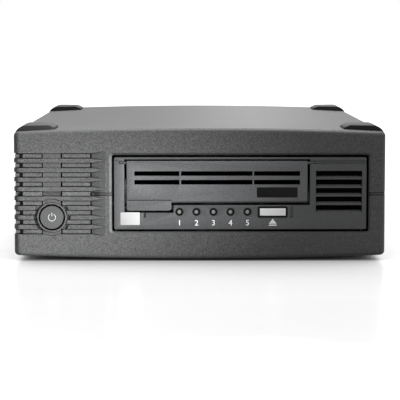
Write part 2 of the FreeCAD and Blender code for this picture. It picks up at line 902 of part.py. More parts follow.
def make_feet():
    """Four round rubber feet, and four rubber pads that are mirror images of one."""
    for name, place in zip(("front_left", "back_left", "front_right", "back_right"), DISC_PLACES):
        foot = Piece(f"foot_bottom_{name}")
        foot.pad("XY", "0", "disc_seat_depth - foot_gap", disc(*place, "disc_radius"))
        foot.chamfer("disc_chamfer", touches(z=("0", "0")))
        node(foot)
    pad = Piece("foot_top_front_left")
    pad.pad("XY", "foot_top - foot_seat_depth + foot_gap", "foot_seat_depth - foot_gap",
            foot_plan("-1", *FOOT_SPANS[0], "0", "side"))
    pad.fillet("foot_round", touches("Y", x=("-side", "-side"), z=("foot_top", "foot_top")))
    pad.pocket("XZ", "front", "foot_inset + foot_length + foot_taper", outline(
        ("foot_width - side + 1", "foot_top - foot_bevel_drop"),
        ("foot_width - side", "foot_top - foot_bevel_drop"),
        ("foot_width - side - foot_bevel", "foot_top"),
        ("foot_width - side - foot_bevel", "foot_top + 1"),
        ("foot_width - side + 1", "foot_top + 1")))
    near = node(pad)
    back_shift = "(foot_inset - foot_inset_back) / 2"
    far = node(mirrored("foot_top_back_left", near, "Y", back_shift))
    for item in (near, far):
        node(mirrored(item.Label.replace("left", "right"), item, "X"))


def make_vent_baffle():
    """Grille behind the air slots: bars that stand in the slots, tied by posts and two rails."""
    baffle = Piece("vent_baffle")
    back = "front + wall + baffle_gap"
    low = "slot_first - slot_pitch"
    high = "slot_first + slot_rows * slot_pitch"
    posts = (
        ("-side + wall + 2", "-side + wall + 2 + baffle_post"),
        ("strut_left - baffle_gap - baffle_post", "strut_left - baffle_gap"),
        ("strut_right + 2 * baffle_gap", "strut_right + 2 * baffle_gap + baffle_post"),
        ("slot_end - 2 * baffle_gap - baffle_post", "slot_end - 2 * baffle_gap"),
    )
    baffle.pad("XZ", back, "baffle_thickness",
               *[rectangle(left, right, low, high) for left, right in posts])
    side_back = "-side + wall + baffle_gap + baffle_thickness"
    for level in (low, f"{high} - baffle_post"):
        baffle.pad("XY", level, "baffle_post", outline(
            (posts[-1][1], back),
            (posts[-1][1], f"{back} + baffle_thickness"),
            (side_back, f"{back} + baffle_thickness"),
            (side_back, "front + slot_side_length"),
            ("-side + wall + baffle_gap", "front + slot_side_length"),
            ("-side + wall + baffle_gap", back),
        ))
    side_posts = (
        (f"{back} + baffle_thickness + 2", f"{back} + baffle_thickness + 2 + baffle_post"),
        ("front + slot_side_length - baffle_post - 1", "front + slot_side_length - 1"),
    )
    baffle.pad("YZ", "-side + wall + baffle_gap", "baffle_thickness",
               *[rectangle(near, far, low, high) for near, far in side_posts])
    bar_low = "slot_first - slot_height / 2 + baffle_gap"
    bar_height = "slot_height - 2 * baffle_gap"
    spans = (("-side + baffle_corner", posts[1][1]), (posts[2][0], posts[3][1]))
    baffle.pad("XZ", "front + baffle_recess", f"{back} + baffle_thickness - front - baffle_recess",
               *[rectangle(*span, bar_low, f"{bar_low} + {bar_height}") for span in spans])
    baffle.repeat("Z", "slot_pitch", "slot_rows")
    side_face = "-side + baffle_side_recess"
    side_end = f"{side_face} + baffle_end_thickness"
    baffle.pad("XY", bar_low, bar_height, outline(
        (side_face, "front + baffle_end_recess"), (side_end, "front + baffle_end_recess"),
        (side_end, f"{back} + 0.3"), (side_back, f"{back} + 0.3"),
        (side_back, side_posts[1][1]), (side_face, side_posts[1][1])))
    baffle.repeat("Z", "slot_pitch", "slot_rows")
    seam_low = "slot_seam - slot_height / 2 + baffle_gap"
    baffle.pad("XZ", "front + baffle_seam_recess", "baffle_recess",
               *[rectangle(*span, seam_low, f"{seam_low} + {bar_height}") for span in spans])
    baffle.pocket("XZ", "front", "collar_length + 2",
                  disc("power_across", "power_height", "collar_radius + baffle_gap"))
    return node(baffle)


def make_power_button():
    """Round push button that slides in the collar, with a stop flange and a stem."""
    button = Piece("power_button")
    centre = ("power_across", "power_height")
    button.pad("XZ", "front - power_proud", "collar_length + power_proud + run_gap + power_flange",
               disc(*centre, "power_radius"))
    button.fillet("power_proud", touches(y=("front - power_proud", "front - power_proud")))
    button.pad("XZ", "front + collar_length + run_gap", "power_flange",
               disc(*centre, "collar_radius"))
    button.pad("XZ", "front + collar_length + run_gap + power_flange", "power_stem - run_gap",
               disc(*centre, "power_radius / 3"))
    return node(button)


def make_power_switch():
    """Push switch behind the power button, on a board that stands against two posts."""
    switch = Piece("power_switch")
    for near, length, size in (("power_switch_face", "plunger_length", "plunger_size"),
                               ("power_switch_face + plunger_length",
                                "switch_depth - plunger_length", "switch_size")):
        switch.pad("XZ", near, length,
                   rectangle(f"power_across - {size} / 2", f"power_across + {size} / 2",
                             f"power_height - {size} / 2", f"power_height + {size} / 2"))
    node(switch)
    board = Piece("switch_board")
    board.pad("XZ", "switch_board_face", "board_thickness",
              rectangle("power_across - switch_board_half", "power_across + switch_board_half",
                        "boss_top", "power_height + switch_board_rise"))
    board.pocket("XZ", "switch_board_face - 1", "board_thickness + 2",
                 *[disc(f"power_across + ({side}) * (switch_board_half - 4)",
                        "power_height + switch_board_rise - 4", "screw_radius")
                   for side in (-1, 1)])
    node(board)


def make_bezel():
    """Front panel of the drive: door opening, slots, lamp holes, button window and recesses."""
    bezel = Piece("drive_bezel")
    opening_left = "door_left - door_side_gap"
    opening_right = "door_right + door_side_gap"
    bezel.pad("XZ", "bezel_face", "bezel_thickness",
              rectangle("bezel_left", "bezel_right", "bezel_low", "bezel_high"))
    bezel.fillet("bezel_wall / 2", touches("Y"))
    inset = "bezel_wall / 2"
    bezel.pad("XZ", "bezel_back", "bezel_rim_depth - bezel_thickness",
              rectangle(f"bezel_left + {inset}", f"bezel_right - {inset}",
                        f"bezel_low + {inset}", f"bezel_high - {inset}"),
              rectangle(f"bezel_left + {inset} + bezel_wall", f"bezel_right - {inset} - bezel_wall",
                        f"bezel_low + {inset} + bezel_wall", f"bezel_high - {inset} - bezel_wall"))
    ear = "door_pin_radius + ear_wall"
    bezel.pad("XZ", "bezel_back", "ear_wall",
              rectangle("bezel_left + bezel_wall", opening_left,
                        f"door_pin_height - ({ear})", f"door_pin_height + {ear}"),
              rectangle(opening_right, f"{opening_right} + pin_length + ear_wall",
                        f"door_pin_height - ({ear})", f"door_pin_height + {ear}"))
    bezel.pocket("XZ", "bezel_face - 1", "bezel_rim_depth + 1",
                 outline((opening_left, "door_top + door_top_gap"),
                         (opening_right, "door_top + door_top_gap"),
                         (opening_right, "door_bottom - door_bottom_gap"),
                         ("door_left + tab_width + tab_side_gap", "door_bottom - door_bottom_gap"),
                         ("door_left + tab_width + tab_side_gap", "tab_bottom - tab_side_gap"),
                         (opening_left, "tab_bottom - tab_side_gap")))
    for start, length in (
        (f"{opening_left} - pin_length - run_gap", "pin_length + run_gap + 0.1"),
        (f"{opening_right} - 0.1", "pin_length + run_gap + 0.1"),
    ):
        bezel.pocket("YZ", start, length,
                     disc("door_pin_depth", "door_pin_height", "door_pin_radius + pin_fit"))
    bezel.pocket("XZ", "bezel_face - 1", "notch_depth + 1",
                 rectangle("bezel_left - 1", opening_left,
                           "channel_low", "channel_low + channel_height"),
                 rectangle(opening_right, "bezel_right + 1",
                           "channel_low", "channel_low + channel_height"),
                 rectangle("notch_left", "notch_left + notch_width",
                           "notch_low", "tab_bottom - tab_side_gap + 0.1"),
                 rectangle("notch_right", "notch_right + notch_width",
                           "notch_low", "door_bottom - door_bottom_gap + 0.1"))
    bezel.pocket("XZ", "bezel_face - 1", "bezel_rim_depth + 1",
                 rectangle("side_slot_left", "side_slot_left + side_slot_width",
                           "side_slot_low", "side_slot_low + side_slot_height"))
    bezel.repeat("Z", "side_slot_pitch", "side_slot_count")
    bezel.chamfer("side_slot_lip", *[
        touches("X", x=("side_slot_left", "side_slot_left + side_slot_width"),
                y=("bezel_face", "bezel_face"), z=(f"side_slot_low + {row} * side_slot_pitch",) * 2)
        for row in range(int(VALUES["side_slot_count"]))
    ])
    bezel.pocket("XZ", "bezel_face - 1", "bezel_rim_depth + 1",
                 disc("lamp_first", "lamp_height", "lamp_hole"))
    bezel.repeat("X", "lamp_pitch", "lamp_count")
    bezel.pocket("XZ", "bezel_face - 1", "bezel_rim_depth + 1",
                 rectangle("eject_left - eject_gap", "eject_right + eject_gap",
                           "eject_low - eject_gap", "eject_high + eject_gap"))
    bezel.pocket("XZ", "bezel_face - 1", "plate_thickness + 1",
                 rectangle("badge_left", "badge_right", "badge_low", "badge_high"))
    node(bezel)
    badge = Piece("badge_plate")
    badge.pad("XZ", "bezel_face", "plate_thickness",
              rectangle("badge_left", "badge_right", "badge_low", "badge_high"))
    badge.fillet("badge_corner", touches("Y"))
    node(badge)


def make_door():
    """Flap with hinge pins at its top corners, a tab at the lower left and an air grille."""
    door = Piece("cartridge_door")
    door.pad("XZ", "bezel_face", "door_thickness",
             outline(("door_left", "door_top"), ("door_right", "door_top"),
                     ("door_right", "door_bottom"), ("door_left + tab_width", "door_bottom"),
                     ("door_left + tab_width", "tab_bottom"), ("door_left", "tab_bottom")))
    door.chamfer("door_bevel", touches("X", x=("door_left + tab_width", "door_right"),
                                       y=("bezel_face", "bezel_face"), z=("door_bottom",) * 2))
    door.fillet("tab_corner", touches("Y", z=("tab_bottom", "tab_bottom")))
    door.pocket("XZ", "bezel_face - 1", "plate_thickness + 1",
                rectangle("door_left", "door_left + tab_width",
                          "tab_line_low", "tab_line_low + tab_line_height"),
                rectangle("door_plate_left", "door_plate_left + door_plate_width",
                          "door_plate_low", "door_plate_low + door_plate_height"))
    left = "door_left + grille_margin"
    right = "door_right - grille_margin"
    half = "grille_rib / 2"
    low, high = "grille_low", "grille_low + grille_slot"
    door.pocket("XZ", "bezel_face - 1", "door_thickness + 2",
                rectangle(left, f"grille_rib_one - {half}", low, high),
                rectangle(f"grille_rib_one + {half}", f"grille_rib_two - {half}", low, high),
                rectangle(f"grille_rib_two + {half}", right, low, high))
    door.repeat("Z", "grille_pitch", "2")
    pin = disc("door_pin_depth", "door_pin_height", "door_pin_radius")
    door.pad("YZ", "door_left - door_side_gap - pin_length", "door_side_gap + pin_length + 0.5", pin)
    door.pad("YZ", "door_right - 0.5", "door_side_gap + pin_length + 0.5", pin)
    node(door)
    plate = Piece("door_plate")
    plate.pad("XZ", "bezel_face", "plate_thickness",
              rectangle("door_plate_left", "door_plate_left + door_plate_width",
                        "door_plate_low", "door_plate_low + door_plate_height"))
    node(plate)


def make_lamps_and_eject():
    """Status lamps in their holder, the eject button, its switch and their board."""
    holder = Piece("lamp_holder")
    holder.pad("XZ", "bezel_back + lamp_gap", "holder_plate",
               rectangle("lamp_first - holder_edge",
                         "lamp_first + (lamp_count - 1) * lamp_pitch + holder_edge",
                         "lamp_height - holder_edge", "lamp_height + holder_rise"))
    holder.pad("XZ", "bezel_face + holder_inset", "bezel_thickness",
               disc("lamp_first", "lamp_height", "lamp_hole - lamp_gap"))
    holder.repeat("X", "lamp_pitch", "lamp_count")
    holder.pocket("XZ", "bezel_face", "bezel_rim_depth",
                  disc("lamp_first", "lamp_height", "lamp_radius + lamp_gap"))
    holder.repeat("X", "lamp_pitch", "lamp_count")
    node(holder)
    lamps = [
        rod(f"lamp_{index}", "Y", f"lamp_first + {index} * lamp_pitch", "bezel_face + lamp_inset",
            "lamp_height", "lamp_radius", "board_face - bezel_face - lamp_inset")
        for index in range(int(VALUES["lamp_count"]))
    ]
    node(group("status_lamps", lamps))
    button = Piece("eject_button")
    button.pad("XZ", "bezel_face - eject_proud", "bezel_thickness + eject_proud + run_gap",
               rectangle("eject_left", "eject_right", "eject_low", "eject_high"))
    button.fillet("eject_round", touches(y=("bezel_face - eject_proud",) * 2))
    edge = "(eject_gap + eject_flange_edge)"
    middle = ("eject_left + eject_width / 2", "eject_low + eject_height / 2")
    button.pad("XZ", "bezel_back + run_gap", "eject_flange",
               rectangle(f"eject_left - {edge}", f"eject_right + {edge}",
                         f"eject_low - {edge}", f"eject_high + {edge}"))
    button.pad("XZ", "bezel_back + run_gap + eject_flange", "eject_flange_edge",
               disc(*middle, "eject_nub"))
    node(button)
    board = Piece("bezel_board")
    board.pad("XZ", "board_face", "board_thickness",
              rectangle("lamp_first - holder_edge", "eject_right + holder_edge",
                        "floor_top + lamp_gap", "lamp_height + holder_rise"))
    node(board)
    switch = Piece("eject_switch")
    face = "bezel_back + run_gap + eject_flange + eject_flange_edge + eject_travel + switch_clearance"
    half = "eject_switch_size / 2"
    switch.pad("XZ", face, f"board_face - ({face})",
               rectangle(f"{middle[0]} - {half}", f"{middle[0]} + {half}",
                         f"{middle[1]} - {half}", f"{middle[1]} + {half}"))
    node(switch)


def make_drive_case():
    """Tray and cover of the 5.25-inch drive."""
    base = Piece("drive_base")
    top = "drive_high - cover_thickness"
    base.pad("XZ", "drive_front", "drive_rear - drive_front", outline(
        ("base_left", "drive_low"), ("base_right", "drive_low"), ("base_right", top),
        ("base_right - drive_wall", top), ("base_right - drive_wall", "floor_top"),
        ("base_left + drive_wall", "floor_top"), ("base_left + drive_wall", top),
        ("base_left", top)))
    base.pad("XZ", "drive_rear - drive_wall", "drive_wall",
             rectangle("base_left + drive_wall / 2", "base_right - drive_wall / 2",
                       "floor_top - drive_floor / 2", top))
    base.pocket("XZ", "drive_rear - drive_wall - 1", "drive_wall + 2",
                rectangle("interface_left + neck_inset - 2",
                          "interface_left + interface_width - neck_inset_right + 2",
                          "interface_height - 1", "interface_height + 2 * connector_rise"))
    base.pocket("YZ", "drive_left - 1", "drive_width + 2", *[
        disc(f"front + drive_bolt_front + {step} * drive_bolt_spacing", "drive_bolt_height",
             "screw_radius") for step in (0, 1)])
    base.pad("XY", "floor_top - drive_floor / 2", "deck_height - floor_top + drive_floor / 2",
             *[disc(*place, "boss_radius") for place in DECK_POSTS])
    node(base)
    cover = Piece("drive_cover")
    low = "drive_high - cover_flange"
    cover.pad("XZ", "drive_front", "drive_rear - drive_front", outline(
        ("drive_left", low), ("drive_left + cover_thickness", low),
        ("drive_left + cover_thickness", top), ("drive_right - cover_thickness", top),
        ("drive_right - cover_thickness", low), ("drive_right", low),
        ("drive_right", "drive_high"), ("drive_left", "drive_high")))
    cover.fillet("cover_thickness * 0.8", touches("Y", z=("drive_high", "drive_high")))
    node(cover)


def make_brackets():
    """Sheet-metal angles that carry the drive on the bosses of the lower shell, with screws."""
    near = "front + drive_bolt_front - 16"
    far = "front + drive_bolt_front + drive_bolt_spacing + 16"
    left = Piece("bracket_left")
    left.pad("XZ", near, f"({far}) - ({near})", outline(
        ("bracket_left", "boss_top"),
        ("bracket_left + bracket_sheet + bracket_flange", "boss_top"),
        ("bracket_left + bracket_sheet + bracket_flange", "boss_top + bracket_sheet"),
        ("bracket_left + bracket_sheet", "boss_top + bracket_sheet"),
        ("bracket_left + bracket_sheet", "drive_bolt_height + 8"),
        ("bracket_left", "drive_bolt_height + 8")))
    left.fillet("bracket_sheet * 1.2", touches("Y", x=("bracket_left",) * 2, z=("boss_top",) * 2))
    left.pocket("YZ", "bracket_left - 1", "bracket_sheet + 2", *[
        disc(f"front + drive_bolt_front + {step} * drive_bolt_spacing", "drive_bolt_height",
             "screw_radius + screw_play") for step in (0, 1)])
    node(left)
    node(mirrored("bracket_right", left.body, "X", "bezel_across"))
    screws = []
    for index, (start, axis_side) in enumerate((
        ("bracket_left", -1), ("bracket_left", -1), ("bracket_right", 1), ("bracket_right", 1),
    )):
        depth = f"front + drive_bolt_front + {index % 2} * drive_bolt_spacing"
        inner = "bracket_sheet + run_gap + cover_thickness + drive_wall"
        place = (depth, "drive_bolt_height")
        head = (f"{start} - screw_head_height" if axis_side < 0 else start)
        shank = (start if axis_side < 0 else f"{start} - ({inner})")
        screws.append(joined(f"drive_screw_{index}", [
            rod(f"drive_screw_head_{index}", "X", head, *place, "screw_head_radius",
                "screw_head_height"),
            rod(f"drive_screw_shank_{index}", "X", shank, *place, "screw_radius - screw_play / 2",
                inner)]))
    node(group("drive_screws", screws))
    screws = [
        joined(f"case_screw_{index}", [
            rod(f"case_screw_head_{index}", "Z", *place,
                "seam_height - screw_length / 2 - screw_head_height", "screw_head_radius",
                "screw_head_height"),
            rod(f"case_screw_shank_{index}", "Z", *place, "seam_height - screw_length / 2",
                "screw_radius - screw_play / 2", "screw_length")])
        for index, place in enumerate(CASE_SCREWS)
    ]
    node(group("case_screws", screws))


def window(shape):
    """The way out for the tape, cut through the right-hand walls of the tray and the carriage."""
    shape.pocket("YZ", "door_across + tray_inner - 1", "window_reach", rectangle(
        "tray_back - window_near", "tray_back - window_far",
        "tray_floor_height - tray_drop + window_rise", "tray_floor_height + window_top"))


def make_loader():
    """Fixed frame, sliding carriage and dropping tray that take the cartridge in."""
    frame = Piece("loader_frame")
    near = "bezel_face + tray_wall_front + frame_setback"
    far = "tray_back + frame_setback"
    for side in (-1, 1):
        inner, outer = (f"door_across + {side} * ({reach})" for reach in ("frame_inner", "frame_outer"))
        left, right = (inner, outer) if side > 0 else (outer, inner)
        frame.pad("YZ", left, f"({right}) - ({left})", outline(
            (near, "deck_top"), (far, "deck_top"), (far, "tray_floor_height + tray_wall_height"),
            (f"{near} + frame_slope", "tray_floor_height + tray_wall_height"),
            (near, "tray_floor_height + frame_lip")))
    frame.pad("XY", "deck_top", "tray_wall",
              rectangle("door_across - frame_outer", "door_across + frame_outer",
                        f"{near} + frame_lip", f"{near} + frame_lip + tie_width"),
              rectangle("door_across - frame_outer", "door_across + frame_outer",
                        f"{far} - tie_width", f"{far} - 1"))
    node(frame)
    carriage = Piece("loader_carriage")
    near = "bezel_face + tray_wall_front + 2 * frame_setback"
    inner, outer = "carriage_inner", "carriage_outer"
    carriage.pad("XY", "tray_floor_height - tray_drop + 1", "tray_wall_height", outline(
        (f"door_across - {outer}", near), (f"door_across - {inner}", near),
        (f"door_across - {inner}", "tray_back + run_gap"),
        (f"door_across + {inner}", "tray_back + run_gap"),
        (f"door_across + {inner}", near), (f"door_across + {outer}", near),
        (f"door_across + {outer}", "tray_back + run_gap + tray_wall"),
        (f"door_across - {outer}", "tray_back + run_gap + tray_wall")))
    window(carriage)
    node(carriage)
    tray = Piece("cartridge_tray")
    slot = "(spindle_radius + tray_slot_play)"
    middle = "spindle_depth"
    tray.pad("XY", "tray_floor_height", "tray_wall", outline(
        ("door_across - tray_outer", "bezel_face + tray_front"),
        ("door_across + tray_outer", "bezel_face + tray_front"),
        ("door_across + tray_outer", "tray_back"),
        (f"door_across + {slot}", "tray_back"),
        (f"door_across + {slot}", f"{middle} - {slot} - loader_travel"),
        (f"door_across - {slot}", f"{middle} - {slot} - loader_travel"),
        (f"door_across - {slot}", "tray_back"),
        ("door_across - tray_outer", "tray_back")))
    tray.fillet("tray_corner", touches("Z", y=(f"{middle} - {slot} - loader_travel",) * 2))
    wall_near = "bezel_face + tray_wall_front"
    tray.pad("XY", "tray_floor_height + tray_wall / 2", "tray_wall_height - tray_wall / 2", outline(
        ("door_across - tray_outer", wall_near), ("door_across - tray_inner", wall_near),
        ("door_across - tray_inner", "tray_back - tray_wall"),
        ("door_across + tray_inner", "tray_back - tray_wall"),
        ("door_across + tray_inner", wall_near), ("door_across + tray_outer", wall_near),
        ("door_across + tray_outer", "tray_back"), ("door_across - tray_outer", "tray_back")))
    window(tray)
    node(tray)


ROLLER_PLACES = (
    ("frame_side + 12", "loaded_back - 18"),
    ("frame_side + 20", "loaded_back - 2"),
    ("frame_side + 20", "loaded_back + 26"),
    ("frame_side + 10", "loaded_back + 42"),
)
DECK_POSTS = [
    (across, depth)
    for across in ("base_left + drive_wall + 6", "base_right - drive_wall - 6")
    for depth in ("deck_near + 6", "drive_rear - drive_wall - 10")
]
CHIPS = (
    # How far right of the door's middle, how far behind the board's front edge, and the size
    (-30, 23, 24),
    (6, 25, 18),
    (-40, 93, 18),
    (50, 33, 16),
)


def make_deck():
    """Main board and the plate above it, which carries the motors, the roller pins and the rods."""
    board = Piece("main_board")
    edge = "base_left + drive_wall + run_gap", "base_right - drive_wall - run_gap"
    board.pad("XY", "board_low", "board_thickness",
              rectangle(*edge, "deck_near", "drive_rear - drive_wall - run_gap"))
    board.pocket("XY", "board_low - 1", "board_thickness + 2",
                 *[disc(*place, "boss_radius + run_gap") for place in DECK_POSTS])
    board.pad("XY", "board_top - board_thickness / 2", "board_thickness / 2 + chip_height", *[
        rectangle(f"door_across + ({across})", f"door_across + ({across}) + {size}",
                  f"deck_near + {depth}", f"deck_near + {depth} + {size}")
        for across, depth, size in CHIPS
    ])
    node(board)
    deck = Piece("deck_plate")
    deck.pad("XY", "deck_height", "deck_thickness",
             rectangle(*edge, "deck_near", "drive_rear - drive_wall - run_gap"))
    deck.fillet("deck_corner", touches("Z"))
    deck.pocket("XY", "deck_height - 1", "deck_thickness + 2",
                rectangle("base_left + 8", "base_left + 8 + deck_slot_width",
                          "deck_near + deck_slot_first",
                          "deck_near + deck_slot_first + deck_slot_length"))
    deck.repeat("Y", "deck_slot_pitch", "2")
    deck.pad("XY", "deck_height", "reel_lift + roller_height + deck_thickness + 4",
             *[disc(*place, "roller_pin_radius") for place in ROLLER_PLACES])
    deck.pad("XY", "deck_height", "deck_thickness + reel_lift - run_gap",
             *[disc(*place, "roller_pin_radius + 1.5") for place in ROLLER_PLACES])
    node(deck)
    for index, (across, depth) in enumerate(ROLLER_PLACES, 1):
        roller = Piece(f"guide_roller_{index}")
        bore = "roller_pin_radius + roller_pin_gap"
        rim = "roller_radius + flange_thickness"
        roller.turn("Revolution", "Z", "XZ", "0", outline(
            (bore, "0"), (rim, "0"), (rim, "flange_thickness"),
            ("roller_radius", "flange_thickness"),
            ("roller_radius", "roller_height - flange_thickness"),
            (rim, "roller_height - flange_thickness"), (rim, "roller_height"),
            (bore, "roller_height")))
        for target, text in (("x", across), ("y", depth), ("z", "reel_low")):
            bind(roller.body, f"Placement.Base.{target}", text)
        node(roller)
    motors = []
    for name, across, depth, radius, height, shaft in (
        ("spindle", "door_across", "spindle_depth", "spindle_radius + 2", "reel_lift / 2", "reel_lift"),
        ("reel", "reel_across", "reel_depth", "motor_radius", "reel_lift - run_gap", "2 * reel_lift"),
    ):
        motors.append(joined(f"{name}_motor", [
            rod(f"{name}_stator", "Z", across, depth, "deck_top", radius, height),
            rod(f"{name}_shaft", "Z", across, depth, "deck_top", "shaft_radius", shaft)]))
    node(group("reel_motors", motors))


def make_reels():
    """Hub that turns the cartridge's reel, and the drive's own take-up reel."""
    spindle = Piece("supply_spindle")
    bore = "shaft_radius + pin_fit"
    rim = "spindle_disc + spindle_rim"
    spindle.turn("Revolution", "Z", "XZ", "0", outline(
        (bore, "0"), ("spindle_radius", "0"), ("spindle_radius", "spindle_disc"),
        ("spindle_radius - 1", rim), ("tooth_inner - 1", rim),
        ("tooth_inner - 2", "spindle_disc"), (bore, "spindle_disc")))
    tooth = spindle.pad("XY", "spindle_disc", "tooth_height",
                        rectangle("tooth_inner", "tooth_outer", "-tooth_half", "tooth_half"))
    teeth = spindle.add("PolarPattern", Originals=[tooth], Axis=(spindle.origin("Z_Axis"), [""]))
    teeth.Angle = 360
    bind(teeth, "Occurrences", "spindle_teeth")
    for target, text in (("x", "door_across"), ("y", "spindle_depth"),
                         ("z", "deck_top + reel_lift / 2 + run_gap")):
        bind(spindle.body, f"Placement.Base.{target}", text)
    node(spindle)
    reel = Piece("take_up_reel")
    low, high = "flange_thickness", "reel_height - flange_thickness"
    reel.turn("Revolution", "Z", "XZ", "0", outline(
        (bore, "0"), ("reel_radius", "0"), ("reel_radius", low), ("reel_hub_radius", low),
        ("reel_hub_radius", high), ("reel_radius", high), ("reel_radius", "reel_height"),
        ("reel_hub_radius - reel_wall", "reel_height"),
        ("reel_hub_radius - reel_wall", "reel_web"), (bore, "reel_web")))
    gap = reel.pocket("XY", "-1", "reel_height + 2",
                      disc("(reel_radius + reel_hub_radius) / 2 + 1", "0", "reel_hole"))
    gaps = reel.add("PolarPattern", Originals=[gap], Axis=(reel.origin("Z_Axis"), [""]))
    gaps.Angle = 360
    bind(gaps, "Occurrences", "reel_hole_count")
    for target, text in (("x", "reel_across"), ("y", "reel_depth"), ("z", "reel_low")):
        bind(reel.body, f"Placement.Base.{target}", text)
    node(reel)


def make_head():
    """Tape head on its carriage, which slides up and down two rods of the actuator."""
    across = "frame_side + head_from_frame"
    depth = "loaded_back + head_from_stop"
    low = "deck_top"
    spots = (("near", f"{depth} - rod_spread"), ("far", f"{depth} + rod_spread"))
    rods = [rod(f"head_rod_{name}", "Z", across, place, low, "rod_radius", "rod_length")
            for name, place in spots]
    foot = block("head_foot", f"{across} - head_foot_half", f"{across} + head_foot_half",
                 f"{depth} - head_foot_length / 2", f"{depth} + head_foot_length / 2",
                 low, f"{low} + head_foot_height")
    magnet = block("head_magnet", f"{across} + magnet_left", f"{across} + magnet_right",
                   f"{depth} - magnet_half", f"{depth} + magnet_half",
                   low, f"{low} + rod_length - 2")
    node(joined("head_actuator", [foot, magnet] + rods))
    middle = "reel_low + roller_height / 2"
    carriage = block("head_carriage_body",
                     f"{across} - head_thickness / 2", f"{across} + head_thickness / 2",
                     f"{depth} - head_length / 2", f"{depth} + head_length / 2",
                     f"{middle} - head_height / 2", f"{middle} + head_height / 2")
    bores = [rod(f"head_bore_{name}", "Z", across, place, f"{middle} - head_height",
                 "rod_radius + pin_fit", "2 * head_height") for name, place in spots]
    node(less("head_carriage", carriage, bores))
    bar = Piece("tape_head")
    face = f"{across} - head_thickness / 2"
    bar.pad("XY", f"{middle} - head_bar_height / 2", "head_bar_height", outline(
        (face, f"{depth} - head_bar_half"), (face, f"{depth} + head_bar_half"),
        (f"{face} - head_bar_reach", f"{depth} + head_bar_nose"),
        (f"{face} - head_bar_reach", f"{depth} - head_bar_nose")))
    node(bar)


WOUND_PARTS = (
    # Left and right of the middle of the supply, near and far from its front end, and the height
    ("transformer", -15, 13, 56, 84, 24),
    ("choke", -14, 4, 12, 30, 18),
)
CAPACITORS = (
    # Across from the middle, behind the front end, radius and height
    ("capacitor_large", -6, 43, 10, 26),
    ("capacitor_near", -12, 96, 5, 20),
    ("capacitor_middle", 0, 96, 5, 20),
    ("capacitor_far", 12, 96, 5, 20),
)


def make_supply():
    """Power supply: tray, perforated cover, board, wound parts and heat sink."""
    low, high = "boss_top", "boss_top + supply_height"
    case = Piece("supply_case")
    case.pad("XZ", "supply_near", "supply_length - sheet - run_gap", outline(
        ("supply_left", low), ("supply_right", low), ("supply_right", high),
        ("supply_right - sheet", high), ("supply_right - sheet", f"{low} + sheet"),
        ("supply_left + sheet", f"{low} + sheet"), ("supply_left + sheet", high),
        ("supply_left", high)))
    case.fillet("sheet", touches("Y", z=(low, low)))
    node(case)
    cover = Piece("supply_cover")
    cover.pad("YZ", "supply_left", "supply_width", outline(
        ("supply_near", high), ("supply_near", f"{high} + sheet"), ("supply_far", f"{high} + sheet"),
        ("supply_far", f"{low} + supply_skirt"), ("supply_far - sheet", f"{low} + supply_skirt"),
        ("supply_far - sheet", high)))
    cover.pocket("XY", f"{high} - 1", "sheet + 2", rectangle(
        "supply_left + supply_slot_edge", "supply_right - supply_slot_edge",
        "supply_near + supply_slot_first", "supply_near + supply_slot_first + supply_slot_width"))
    cover.repeat("Y", "supply_slot_pitch", "supply_slot_count")
    node(cover)
    board = Piece("supply_board")
    board.pad("XY", f"{low} + supply_board_rise", "board_thickness",
              rectangle("supply_left + sheet + run_gap", "supply_right - sheet - run_gap",
                        "supply_near + 2", "supply_far - 2 * sheet"))
    board.pad("XY", f"{low} + sheet", "supply_board_rise - sheet / 2", *[
        disc(across, depth, "supply_post_radius") for across, depth in SUPPLY_BOSSES])
    node(board)
    top = f"{low} + supply_board_rise + board_thickness"
    middle = "(supply_left + supply_right) / 2"
    parts = [
        block(name, f"{middle} + ({left})", f"{middle} + {right}", f"supply_near + {near}",
              f"supply_near + {far}", top, f"{top} + {rise}")
        for name, left, right, near, far, rise in WOUND_PARTS
    ] + [
        rod(name, "Z", f"{middle} + ({across})", f"supply_near + {depth}", top, f"{radius}", f"{rise}")
        for name, across, depth, radius, rise in CAPACITORS
    ]
    node(group("supply_parts", parts))
    sink = Piece("heat_sink")
    plate = "supply_right - supply_slot_edge"
    first = "supply_near + sink_first"
    sink.pad("XY", top, "sink_height", rectangle(
        f"{plate} - sink_plate", plate, f"{first} - 2", f"{first} + sink_fins * sink_pitch"))
    sink.pad("XY", top, "sink_height", rectangle(
        "supply_right - sink_reach", f"{plate} - sink_plate / 2", first, f"{first} + sink_fin"))
    sink.repeat("Y", "sink_pitch", "sink_fins")
    node(sink)


def fan_bolts():
    """Centres of the four fan screws, across and up."""
    return [(f"fan_across + {x} * fan_hole_spacing / 2", f"case_middle + {z} * fan_hole_spacing / 2")
            for x in (-1, 1) for z in (-1, 1)]


